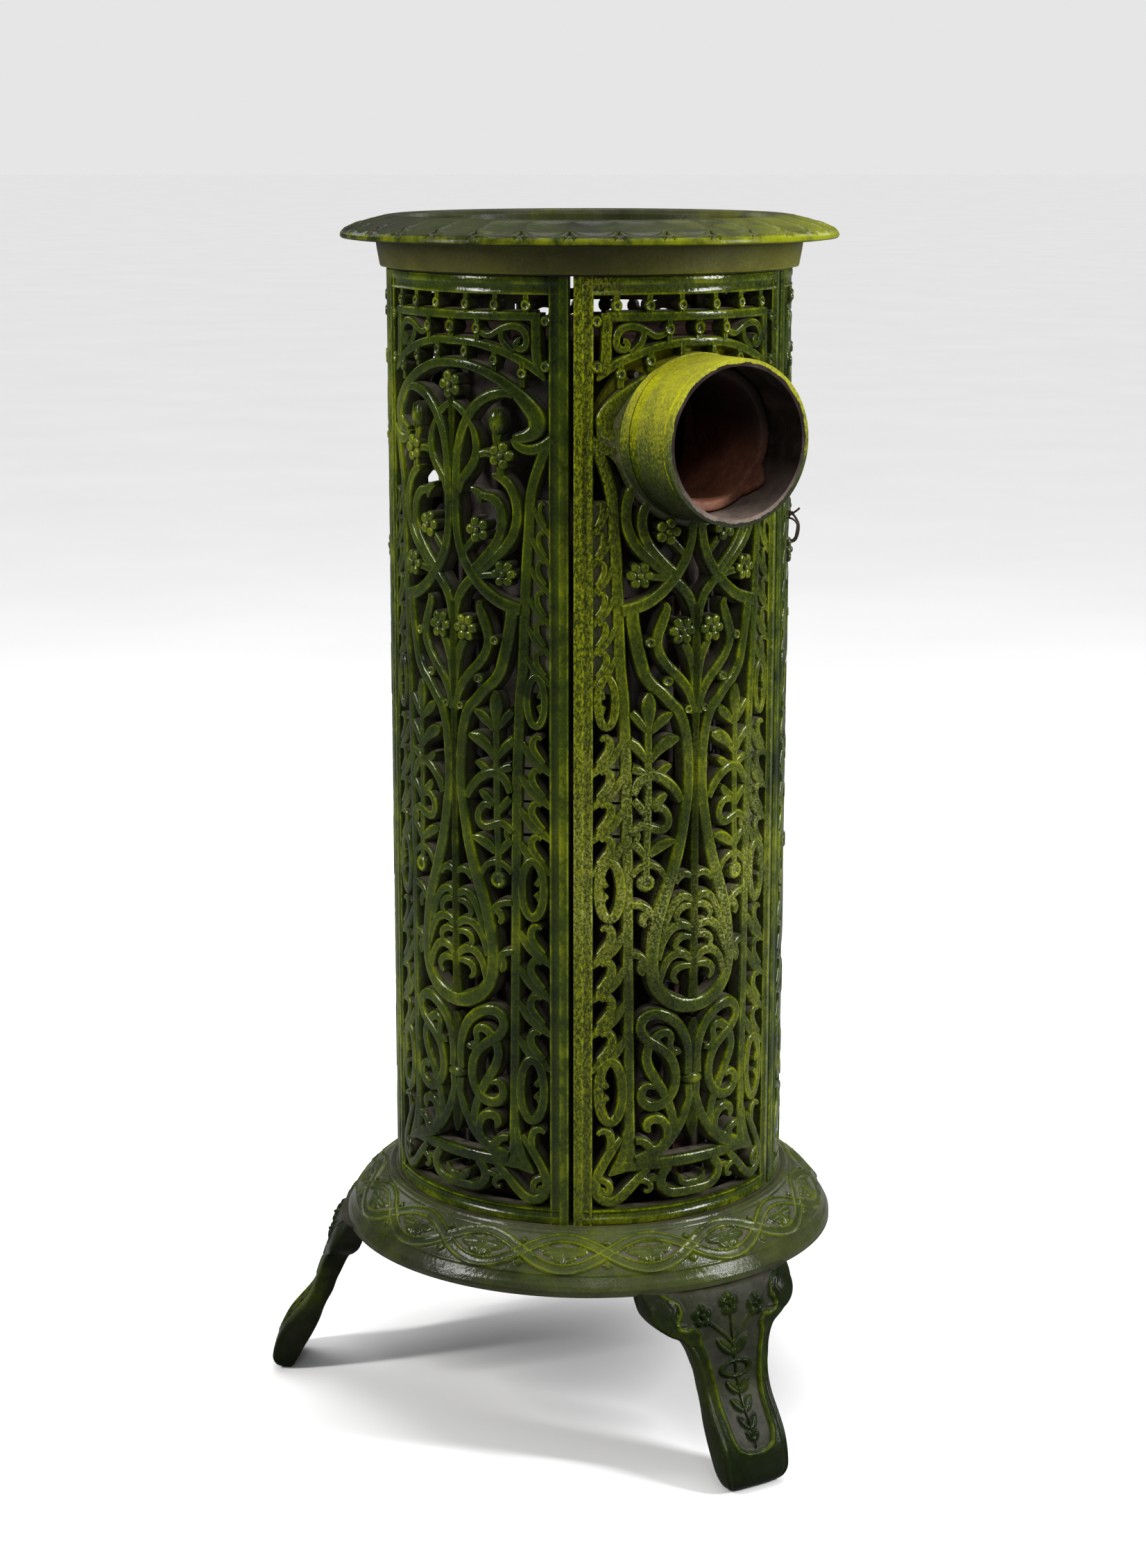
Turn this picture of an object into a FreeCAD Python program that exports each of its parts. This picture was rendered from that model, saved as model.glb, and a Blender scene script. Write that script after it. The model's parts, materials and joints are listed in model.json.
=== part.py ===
"""Openwork enamelled cast-iron column heater with a rear flue collar.

All dimensions are in millimetres.  The casing axis is the construction axis;
every piece is moved by Y_SHIFT at the end so that the middle of the bottom of
the whole heater's box is the origin.  +Z is up, -Y is the front (the two
doors), +Y is the back (the flue collar).  Angles are degrees about +Z from +X.
"""
import FreeCAD, Part
import os
from math import sin, cos, radians, degrees, pi, sqrt, asin

V = FreeCAD.Vector
Z = V(0, 0, 1)

# ---------------------------------------------------------------- dimensions
CASE_R = 160.0          # outer radius of the openwork casing
CASE_T = 14.0           # depth of the casting at its rails
FIELD_IN = 1.0          # how far the openwork field sits back from the rails
PANEL_HALF = 98.83      # half the arc length of one of the five panels
SHELF_Z = 188.6         # shelf the fixed panels stand on
PANEL_TOP = 927.5       # underside of the top ring
DOOR_GAP_LOW = 1.3      # a door hangs this far above the shelf
DOOR_GAP_TOP = 0.6
FIELD_U = 83.6          # half width of the openwork field, along the arc
FIELD_V = (12.6, 725.0) # foot and head of the field above the panel foot
PANEL_ANGLES = {"panel_back": 90.0, "panel_right": 18.0, "panel_left": 162.0,
                "door_left": 234.0, "door_right": 306.0}

HINGE_R = 155.0         # door pivots, from the casing axis
HINGE_IN = 7.0          # pivot's distance in from the door's outer edge
PIN_R = 2.5
PIN_HOLE_R = 2.55

RIM_R = 195.5           # widest radius of the top rim
RING_R = 202.2          # widest radius of the base ring
TOTAL_H = 968.2

LEG_ANGLES = {"leg_back": 90.0, "leg_front_left": 215.0, "leg_front_right": 325.0}
LEG_TOE_R = 269.0       # from the casing axis to the toe

FLUE_Z = 807.7          # height of the flue's axis
FLUE_BORE_R = 56.5      # inside radius of the flue collar
FLUE_OUT_R = 62.2       # outside radius of the flue collar, where the pipe slips over it
FLUE_ROOT_R = 63.0      # thicker root where the collar passes through the back panel
FLUE_MOUTH_Y = 213.6    # the collar's mouth
LINER_R = (47.2, 55.5)  # terracotta liner, inside and outside radius
LINER_Y = (78.0, 172.6)

DRUM_R = (101.0, 104.0)        # lower drum, inside and outside radius
UPPER_DRUM_R = (113.5, 117.0)  # fireclay-lined drum
TANK_R = 124.0
WICK_TRAVEL = 15.0
PINION_R = 4.0                 # pitch radius, module 1, eight teeth
SPINDLE_Z = 206.0

Y_SHIFT = -(LEG_TOE_R - RING_R) / 2.0

PARTS = {}


# ------------------------------------------------------------------- helpers
def cyl(r, z0, z1, x=0.0, y=0.0):
    return Part.makeCylinder(r, z1 - z0, V(x, y, z0), Z)


def tube(r0, r1, z0, z1, x=0.0, y=0.0):
    return cyl(r1, z0, z1, x, y).cut(cyl(r0, z0 - 1, z1 + 1, x, y))


def cyl_y(r, y0, y1, x=0.0, z=0.0):
    return Part.makeCylinder(r, y1 - y0, V(x, y0, z), V(0, 1, 0))


def tube_y(r0, r1, y0, y1, x=0.0, z=0.0):
    return cyl_y(r1, y0, y1, x, z).cut(cyl_y(r0, y0 - 1, y1 + 1, x, z))


def box(x0, x1, y0, y1, z0, z1):
    return Part.makeBox(x1 - x0, y1 - y0, z1 - z0, V(x0, y0, z0))


def face_of(points):
    pts = [V(*p) for p in points]
    return Part.Face(Part.makePolygon(pts + [pts[0]]))


def revolve(rz, start=0.0, sweep=360.0):
    """Turn an (r, z) outline about the casing axis."""
    f = face_of([(r, 0, z) for r, z in rz])
    s = f.revolve(V(0, 0, 0), Z, sweep)
    if start:
        s.rotate(V(0, 0, 0), Z, start)
    return s


def turned(shape, angle):
    s = shape.copy()
    s.rotate(V(0, 0, 0), Z, angle)
    return s


def polar(r, angle):
    return r * cos(radians(angle)), r * sin(radians(angle))


def fuse(*shapes):
    s = shapes[0]
    return s.multiFuse(list(shapes[1:])) if len(shapes) > 1 else s


def hexagon(af, z0, z1, x, y, turn=0.0):
    r = af / sqrt(3.0)
    pts = [(x + r * cos(radians(60 * i + turn)), y + r * sin(radians(60 * i + turn)), z0) for i in range(6)]
    return face_of(pts).extrude(V(0, 0, z1 - z0))


def sector(r0, r1, z0, z1, a0, a1):
    return revolve([(r0, z0), (r1, z0), (r1, z1), (r0, z1)], a0, a1 - a0)


def keep(name, *shapes):
    solids = []
    for s in shapes:
        solids += s.Solids
    for s in solids:
        if not s.isValid():
            s.fix(1e-5, 1e-5, 1e-5)
    c = Part.makeCompound(solids) if len(solids) > 1 else solids[0]
    c.translate(V(0, Y_SHIFT, 0))
    PARTS[name] = c
    return c


# ------------------------------------------------- openings of the openwork
# Outlines of the larger gaps, in millimetres: (along the arc, above the foot).
# Paired ones repeat mirrored about the panel's middle.
PAIRED_OPENINGS = [
    [(67.3, 28.8), (67.8, 33.6), (75.9, 39.9), (64.3, 61.7), (62.6, 60.9), (70.9, 41.5), (46.9, 43.5), (46.4, 42.2), (64.8, 24.8), (69.6, 23)],
    [(42.9, 70.3), (49, 70.5), (49.5, 101.1), (47.9, 101.4), (41.1, 93.4), (34.2, 91.5), (24.5, 93.7), (22.2, 85.7), (30.1, 88.7), (36.2, 88.8), (41.4, 85.9), (43.4, 80.9), (42.1, 76.9), (38.6, 74.8), (36.5, 80.5), (34.3, 81.6), (29.3, 80.3), (26, 71), (28.1, 66.3), (32.6, 63.4)],
    [(82.6, 45.6), (82.6, 105.2), (81.7, 105.4), (78.9, 90.6), (73.3, 81.4), (80.3, 75.9), (78.6, 74.1), (73.6, 74.9), (71.6, 69.6), (72.3, 61.3), (82.1, 45.2)],
    [(75, 97.1), (70.3, 104.4), (71.2, 106), (76.4, 105.3), (76.4, 113.9), (73.1, 112.4), (70.3, 114.8), (75, 122.1), (70.2, 129.5), (67.2, 128.6), (64.6, 124.5), (62.2, 109.6), (64.6, 94.7), (67.2, 90.6), (70.2, 89.7)],
    [(36.1, 134.4), (35, 142.2), (23.3, 131.9), (19.5, 116.6), (21.4, 108.7)],
    [(50.3, 155.8), (48.7, 156.1), (41.7, 146.9), (44.4, 134.8), (36.5, 116.2), (43.6, 114.4), (49.6, 108.8)],
    [(82.6, 135.1), (82.6, 154.7), (80.8, 156.5), (79.6, 154.1), (75.6, 154.8), (71.7, 152.9), (70.5, 147.9), (82.2, 134.7)],
    [(18, 98.8), (14.3, 104.1), (11.2, 118), (15.8, 135), (10.3, 137.5), (11.7, 140.7), (14.6, 140), (17.5, 143.2), (16.6, 150.3), (18.5, 155.4), (23, 158.5), (28.5, 158.4), (36.9, 153.2), (41.3, 159.3), (41.3, 162.6), (37.4, 166.4), (29.4, 165.9), (18.9, 159.7), (14.8, 155), (9.3, 143), (7.3, 117.9), (8.9, 116.1), (6.7, 101.1), (12.6, 85.5)],
    [(82.6, 163.7), (82.6, 183.2), (80.9, 185), (79.7, 182.6), (75.7, 183.4), (71.9, 181.4), (70.7, 176.3), (82.2, 163.2)],
    [(82.6, 192.2), (82.6, 211.2), (80.7, 213.2), (79.7, 211.1), (75.8, 211.9), (72, 209.9), (70.9, 204.8), (82.2, 191.8)],
    [(14, 183.6), (23, 189.7), (27.5, 195.7), (24.4, 205.1), (19.4, 212.6), (16, 214.4), (8.6, 213.4), (5.9, 211.3), (16.9, 208.2), (20.6, 204.4), (21.1, 199.8), (15, 193.9), (13.6, 195.3), (15.2, 201.4), (11.7, 204.1), (4.1, 205.4), (5.8, 181)],
    [(51.2, 222.8), (51.6, 257.4), (42.8, 254.6), (47.1, 247.1), (43.2, 241.6), (40.8, 243.4), (41.7, 246), (38.8, 250.2), (37.4, 248.1), (41.4, 220.2)],
    [(82.6, 220.2), (82.6, 268), (81.7, 268.1), (77.7, 251.3), (73.2, 245.5), (80.7, 240.9), (79.8, 239.1), (75.9, 239.9), (72.2, 238), (71.1, 232.8), (82.2, 219.8)],
    [(17, 275.3), (15.1, 273.7), (11.7, 277.3), (7.2, 278.7), (3.9, 277.3), (3.9, 265.5), (9.1, 266.8), (21.8, 261.4)],
    [(41.6, 260.5), (51.6, 262.4), (51.7, 281.5), (45.3, 287.3), (44.2, 284), (49, 279.1), (48.9, 275.4), (43.7, 270.3), (36.5, 272.3), (34.7, 279.2), (38.8, 283.8), (38.7, 288.7), (31.2, 284.9), (27.5, 279.4), (35.2, 256.7)],
    [(75.4, 260.5), (71.2, 267.4), (72, 268.9), (76.9, 268.3), (76.9, 275.7), (73.8, 274.4), (71.2, 276.6), (75.4, 283.5), (71.1, 289.9), (68.4, 289.1), (66, 285.4), (63.8, 272), (66, 258.6), (68.4, 254.9), (71.1, 254.1)],
    [(31.2, 291), (38.7, 293.7), (38.6, 297.2), (19, 305.5), (25, 286)],
    [(14.2, 283.6), (5.3, 321.7), (3.5, 321.5), (3.8, 283.1)],
    [(37.9, 317.3), (30.4, 315.1), (25, 316.6), (21, 320.8), (20, 326.1), (22.8, 333.7), (28.8, 338.8), (24.5, 346.1), (26.2, 347.9), (37.5, 342.3), (37.5, 358), (29.2, 354.9), (15.3, 339), (12.1, 339.2), (17.8, 310.1), (25.4, 311.4), (38.4, 306)],
    [(26.9, 362.2), (21.2, 368.1), (21.9, 369.9), (25.8, 370.2), (34, 365), (37.6, 365.3), (37.6, 371.6), (14.7, 388.3), (15.3, 390.7), (22.4, 392.3), (27.9, 390.8), (37.6, 383.4), (37.7, 394), (24.8, 402.3), (19.8, 409.1), (12.7, 388.7), (11.2, 347.9), (12.7, 347.6)],
    [(82.6, 412.3), (81.8, 412.4), (76.2, 398.2), (73.1, 396.9), (70.1, 398.3), (65.8, 406.8), (64.1, 406.6), (63.5, 389), (66.9, 386), (71.7, 393.4), (77.1, 393.9), (81.1, 390.6), (80.2, 388.8), (76.8, 389.7), (73.5, 388), (72.5, 382.9), (74.3, 379.2), (82.6, 371.8)],
    [(26.3, 428.9), (18.6, 434.4), (13.8, 428.9), (6.8, 415.2), (11.3, 412.9)],
    [(76.8, 409.1), (73.6, 415.7), (74.8, 417.5), (78.1, 417.1), (78.1, 421.9), (75.9, 421.2), (73.6, 423.4), (76.8, 429.9), (73.7, 434.8), (71.7, 434.1), (68.6, 425.8), (68.6, 413.2), (71.7, 404.9), (73.7, 404.2)],
    [(39.9, 444.2), (44.4, 461.6), (37.4, 461.2), (32.5, 449.4), (24.7, 438.5), (28.6, 437.3), (31.2, 432.8)],
    [(24, 451.4), (29, 461.1), (28.7, 470.2), (25.8, 476.8), (24.1, 476.3), (23.1, 467.2), (19, 463.1), (13.8, 461.6), (7.4, 446.3), (5.1, 433.2), (6.5, 432.6)],
    [(52.2, 413.2), (54.7, 412.4), (59.1, 477.2), (57.3, 477.4), (49.2, 442.4), (39.1, 427.5), (44.9, 420.5), (44.8, 408.3)],
    [(49, 487.9), (34.2, 494.5), (19.7, 506.8), (12.9, 499.9), (7.3, 489.4), (5.9, 482.8), (13.2, 484.1), (18.9, 482.6), (23.9, 476.5), (25.7, 477.2), (22.5, 488), (23.6, 492.9), (26.1, 495.2), (28.4, 494.3), (37.7, 469), (45.4, 466.2)],
    [(63.2, 552.4), (61.4, 552.7), (55.4, 539.1), (45.8, 528.1), (53, 525.6), (56.9, 521.8), (58.3, 516.6), (56.9, 511.3), (53.1, 507.4), (47.9, 506), (42.6, 507.4), (38.2, 512.4), (29.4, 511.3), (43, 500.2), (59.8, 494.8)],
    [(79.6, 572.8), (82.6, 571.4), (82.6, 601.4), (82, 601.7), (75, 580.5), (73.8, 567.6)],
    [(20.8, 699.9), (22.5, 706), (4.4, 706), (5.6, 700.6), (3, 693), (22.5, 691.9)],
    [(82.6, 709.9), (82.6, 724.2), (68.7, 724.2), (70.4, 717.4), (69.4, 712.5), (77.5, 712), (77.5, 709.8)],
    [(62, 717.6), (63.7, 724.2), (43.5, 724.2), (45.2, 717.4), (44.2, 712.5), (63, 712.5)],
    [(36.8, 717.6), (38.5, 724.2), (17.5, 724.2), (19.2, 717.4), (18.2, 712.5), (37.8, 712.5)],
]
CENTRE_OPENINGS = [
    [(82.6, 21.7), (70.3, 15.2), (63.7, 16.5), (53, 24.6), (45.3, 33.2), (38.1, 29), (39.1, 27), (41.7, 27.6), (42.3, 25.7), (39.1, 24.3), (34.1, 28), (35.3, 33.4), (32, 33.8), (27.3, 23.4), (21.4, 19.7), (-5.4, 17.6), (-17.9, 18.5), (-24.5, 21.2), (-29.5, 26), (-32, 33.8), (-35.3, 33.4), (-33.9, 30.5), (-35.3, 26.1), (-39.1, 24.3), (-42.3, 25.8), (-41.6, 27.6), (-39.1, 27), (-38.1, 29), (-45.3, 33.2), (-57.8, 20), (-70.4, 15.2), (-82.6, 21.7), (-82.6, 13.4), (82.6, 13.4)],
    [(16.2, 26.1), (22.5, 30.4), (23.4, 33.1), (17.5, 43.4), (-17.4, 43.4), (-23.3, 34), (-21.6, 29.2), (-18.2, 26.8), (-10.1, 25.7), (-12.7, 36), (-10.3, 36.4), (-5.4, 30.7), (5.9, 30.9), (10.3, 36.4), (12.7, 36), (10.1, 25.7)],
    [(28.9, 54), (16.5, 64.3), (7.2, 77.7), (1.2, 65.5), (-1.3, 65.5), (-7.2, 77.7), (-15.1, 65.9), (-28.9, 54), (-26.8, 52.6), (28.5, 52.6)],
    [(14.8, 167.5), (28.4, 174.6), (35.3, 175.4), (42.1, 173.6), (50.4, 166.1), (51.1, 217.7), (46.4, 215.3), (48.5, 210.9), (45.7, 203.7), (41.2, 204.1), (37.5, 191), (33.4, 184.7), (22.4, 175.1), (2.3, 168.9), (-13.4, 171), (-26.9, 178.2), (-36.6, 189.3), (-41.2, 204.1), (-43.8, 202.9), (-47.2, 205.1), (-48.5, 208.9), (-46.4, 215.3), (-51.1, 217.7), (-50.4, 166.1), (-48.8, 165.8), (-42.1, 173.6), (-35.3, 175.4), (-21.4, 171.8), (-11.7, 164.8), (-6.2, 157.6), (-1.2, 165), (1.2, 165), (6.2, 157.6)],
    [(7.8, 506.3), (14.5, 512.8), (6.5, 525.7), (0.9, 545), (-1.1, 543.3), (-7.5, 523.7), (-14.5, 512.8), (0.7, 494.7)],
    [(10.8, 717.6), (12.5, 724.2), (-12.5, 724.2), (-10.8, 717.4), (-11.8, 712.5), (11.8, 712.5)],
]
UPPER_PAIRED = [
    [(31.7, 534.3), (39.4, 545.1), (42.4, 556.1), (40.1, 565.7), (37.4, 568.9), (29, 572.4), (28.3, 569.1), (18.6, 578.2), (19.4, 581), (39.1, 576.5), (44.7, 572.6), (48.6, 566.6), (50.3, 559.4), (48.7, 546.8), (50.4, 546.2), (53.8, 555.2), (54.1, 568.8), (52.1, 575.4), (45.8, 584.3), (38.3, 589), (38.7, 592), (42.1, 592.7), (41.8, 596.3), (38.5, 598.4), (35.7, 603.9), (26.6, 603.7), (21.2, 593.1), (7.7, 575.3), (8.5, 547.1), (11.4, 535.4), (17.7, 542.1), (15.3, 546.3), (15.4, 551.8), (18.1, 556.5), (22.8, 559.2), (28.3, 559.1), (33, 556.4), (35.7, 551.7), (35.6, 546.2), (32.9, 541.5), (28.2, 538.8), (21.8, 539.2), (13.4, 530.4), (18.9, 521.5)],
    [(63.9, 568.8), (67.2, 587.2), (73.8, 606.4), (55.2, 610.8), (56.5, 605.7), (55.1, 600.5), (47.7, 595.4), (48.5, 591.2), (56.6, 583.9), (62.2, 568.8)],
    [(17.2, 600.8), (20.2, 609.6), (17.8, 626), (15.7, 624.7), (10.7, 609.7), (8.6, 592), (9.9, 591.5)],
    [(36, 608.9), (39.3, 613.8), (34.8, 631), (38.5, 640.4), (42.1, 641.8), (45.6, 640.3), (48.2, 636.4), (48.2, 625.6), (44.7, 616.1), (53.5, 613.1), (53.5, 618), (56.3, 621.5), (63.3, 624), (68.2, 629.1), (67.6, 632.6), (55.3, 648.6), (46.2, 649.2), (36.4, 646.1), (26.3, 639.5), (19, 630.5), (23.5, 624.7), (27.3, 608.8)],
    [(82.6, 632.8), (82.6, 668.8), (80.3, 667.8), (81.1, 662.9), (79.8, 662.2), (68, 669.9), (65.5, 657), (62.8, 655.6), (77.4, 642.7), (81.8, 632.6)],
    [(58.9, 668.4), (60.5, 674), (44.2, 680.5), (42.2, 667.6), (60.5, 658.5)],
    [(36, 676.9), (37.5, 682.6), (16.5, 686.6), (16.5, 675.5), (37.5, 669.5)],
]
UPPER_CENTRE = [
    [(22.2, 646.6), (35.2, 654), (44.5, 655.5), (43, 658.1), (24.1, 666.7), (3.6, 669.9), (-9.2, 669.7), (-28.8, 665), (-44.9, 656.9), (-44.5, 655.5), (-31.9, 652.7), (-25.2, 649.1), (-14.4, 638), (-3.4, 646.6), (-7.8, 649.3), (-10.6, 654.2), (-10.6, 659.9), (-7.7, 664.8), (-2.8, 667.6), (2.9, 667.6), (7.8, 664.7), (10.6, 659.8), (10.6, 654.1), (7.7, 649.2), (3.4, 646.6), (3.4, 644.8), (14.4, 638)],
    [(11.9, 686.9), (-11.9, 686.9), (-10.4, 682.5), (-11.5, 676.1), (11.5, 676.1)],
]
UPPER_PAIRED_BACK = [
    [(31.7, 534.3), (41.4, 550.5), (42, 560.8), (33.6, 555.6), (35.6, 546.2), (32.9, 541.5), (28.2, 538.8), (21.8, 539.2), (13.4, 530.4), (18.9, 521.5)],
    [(82.6, 640.2), (82.6, 668.8), (80.3, 667.8), (81.1, 662.9), (79.8, 662.2), (68, 669.9), (65.5, 660.2), (76, 651.9), (82.1, 639.9)],
]
UPPER_CENTRE_BACK = [
]


def opening_prism(poly, z_foot):
    """A straight-sided prism through the casting along the gap's own normal."""
    us = [p[0] for p in poly]
    uc = 0.5 * (min(us) + max(us))
    mid = CASE_R - CASE_T / 2.0
    pts = []
    for u, v in poly:
        pts.append((CASE_R - CASE_T - 6.0, mid * sin((u - uc) / CASE_R), z_foot + v))
    s = face_of(pts).extrude(V(CASE_T + 14.0, 0, 0))
    return turned(s, degrees(uc / CASE_R))


def openwork_panel(z0, z1, paired, centre, extra=()):
    """One curved openwork casting, centred on angle 0."""
    half = degrees(PANEL_HALF / CASE_R)
    fh = degrees(FIELD_U / CASE_R)
    body = sector(CASE_R - CASE_T, CASE_R, z0, z1, -half, half)
    face = sector(CASE_R - FIELD_IN, CASE_R + 2, SHELF_Z + FIELD_V[0], SHELF_Z + FIELD_V[1], -fh, fh)
    body = body.cut(face)
    cuts = []
    for poly in paired:
        cuts.append(opening_prism(poly, SHELF_Z))
        cuts.append(opening_prism([(-u, v) for u, v in poly][::-1], SHELF_Z))
    for poly in centre:
        cuts.append(opening_prism(poly, SHELF_Z))
    for poly in extra:
        cuts.append(opening_prism(poly, SHELF_Z))
    return body.cut(cuts)


def rect(u0, u1, v0, v1):
    return [(u0, v0), (u1, v0), (u1, v1), (u0, v1)]


# ----------------------------------------------------------- casing castings
lower_paired, lower_centre = PAIRED_OPENINGS, CENTRE_OPENINGS
full_p = lower_paired + UPPER_PAIRED
full_c = lower_centre + UPPER_CENTRE

plain = openwork_panel(SHELF_Z, PANEL_TOP, full_p, full_c)
keep("panel_right", turned(plain, PANEL_ANGLES["panel_right"]))

# the left panel carries the wire loop round one band of its scrollwork
LOOP_U, LOOP_V = -52.0, 541.0
loop_gaps = [rect(LOOP_U - 3.2, LOOP_U + 3.2, LOOP_V + 5.5, LOOP_V + 13.0),
             rect(LOOP_U - 3.2, LOOP_U + 3.2, LOOP_V - 13.0, LOOP_V - 5.5)]
left = plain.cut([opening_prism(g, SHELF_Z) for g in loop_gaps])
keep("panel_left", turned(left, PANEL_ANGLES["panel_left"]))

# the back panel is closed round the flue collar
back = openwork_panel(SHELF_Z, PANEL_TOP, lower_paired + UPPER_PAIRED_BACK, lower_centre + UPPER_CENTRE_BACK)
back = turned(back, PANEL_ANGLES["panel_back"])
back = back.cut(cyl_y(FLUE_ROOT_R, 100, 200, 0, FLUE_Z))
BOLT_AT = 67.0 * sin(radians(45))
bolt_axes = [(sx * BOLT_AT, FLUE_Z + sz * BOLT_AT) for sx in (-1, 1) for sz in (-1, 1)]
back = back.cut([cyl_y(3.0, 120, 149, x, z) for x, z in bolt_axes])
keep("panel_back", back)


def door(angle, pivot_side):
    """pivot_side is +1 when the pivot is at the higher-angle edge."""
    s = openwork_panel(SHELF_Z + DOOR_GAP_LOW, PANEL_TOP - DOOR_GAP_TOP, full_p, full_c)
    a = pivot_side * degrees((PANEL_HALF) / CASE_R) - pivot_side * degrees(HINGE_IN / HINGE_R)
    x, y = polar(HINGE_R, a)
    s = s.cut(fuse(cyl(PIN_HOLE_R, SHELF_Z, 201, x, y), cyl(PIN_HOLE_R, 915, PANEL_TOP + 1, x, y)))
    return turned(s, angle), a + angle


dl, HINGE_LEFT = door(PANEL_ANGLES["door_left"], -1)
dr, HINGE_RIGHT = door(PANEL_ANGLES["door_right"], +1)


def door_knob(angle):
    """Turned knob on a short shank, standing out from a door's edge bar."""
    prof = [(0, 0), (3.6, 0), (3.6, 2.0), (2.6, 4.0), (2.6, 7.0), (6.4, 9.0), (8.2, 12.0),
            (8.6, 15.0), (7.6, 18.4), (4.4, 20.6), (0, 21.2)]
    f = face_of([(0, y, x) for y, x in prof])          # in the Y-Z plane, axis Z
    s = f.revolve(V(0, 0, 0), Z, 360)
    s.rotate(V(0, 0, 0), V(0, 1, 0), 90)               # axis along +X
    s.translate(V(CASE_R - 0.3, 0, 560.0))
    return turned(s, angle)


KNOB_U = PANEL_HALF - 9.5
kl = door_knob(PANEL_ANGLES["door_left"] + degrees(KNOB_U / CASE_R))
kr = door_knob(PANEL_ANGLES["door_right"] - degrees(KNOB_U / CASE_R))
keep("door_left", dl.cut(kl))
keep("door_right", dr.cut(kr))
keep("door_knob_left", kl)
keep("door_knob_right", kr)

hinge_xy = [polar(HINGE_R, HINGE_LEFT), polar(HINGE_R, HINGE_RIGHT)]
keep("door_pins", *[cyl(PIN_R, z0, z1, x, y) for x, y in hinge_xy for z0, z1 in ((182.4, 200.0), (916.0, 933.6))])

# ------------------------------------------------------ base ring and legs
ROD_R, ROD_AT = 3.0, 137.0
ROD_ANGLES = (49.5, 130.5, 205.0, 335.0)
rod_xy = [polar(ROD_AT, a) for a in ROD_ANGLES]
LEG_BOLT_R, LEG_BOLT_T = 138.0, 12.0
leg_bolt_xy = []
for a in LEG_ANGLES.values():
    cx, cy = polar(LEG_BOLT_R, a)
    tx, ty = -sin(radians(a)), cos(radians(a))
    for s in (-1, 1):
        leg_bolt_xy.append((cx + s * LEG_BOLT_T * tx, cy + s * LEG_BOLT_T * ty))

ring_outline = [(128, 182), (160, 182), (165, 180.5), (173, 175), (182, 167.5), (190, 158), (195, 148.5),
                (196.5, 145.2), (RING_R, 145.2), (RING_R, 150), (200, 154), (195, 162.5), (187, 172), (178, 179.5),
                (170, 184.5), (165.5, 189.0), (162.5, 189.0), (161.3, SHELF_Z), (128, SHELF_Z)]
ring = revolve(ring_outline)
ring = ring.cut([cyl(ROD_R + 0.2, 170, 200, x, y) for x, y in rod_xy] +
                [cyl(3.0, 170, 188.0, x, y) for x, y in leg_bolt_xy] +
                [cyl(PIN_R, 182.4, 200, x, y) for x, y in hinge_xy])
keep("base_ring", ring)

leg_face = [(262, 0), (267, 5), (LEG_TOE_R, 11), (267.5, 20), (264, 30), (258.4, 40), (249.3, 51), (240.5, 61.5),
            (234, 73), (228.5, 90), (222.5, 109), (217.5, 127), (210, 143.5), (205, 150)]
leg_rear = [(190, 145), (191, 140), (194, 128), (198, 116), (203, 104), (208, 92), (212.5, 82), (216, 72),
            (220, 64.5), (224, 56), (228, 45), (233, 34.5), (238, 25.5), (243, 17), (247, 9), (252, 0)]
leg_half_width = [(0, -1.0), (17, -1.0), (22, 4), (27, 12), (28, 26), (28.5, 41), (29, 56), (29.5, 70), (31, 84),
                  (32.5, 90), (36, 101), (43, 111), (54, 117), (66, 127), (69.5, 138), (70, 149)]


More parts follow.
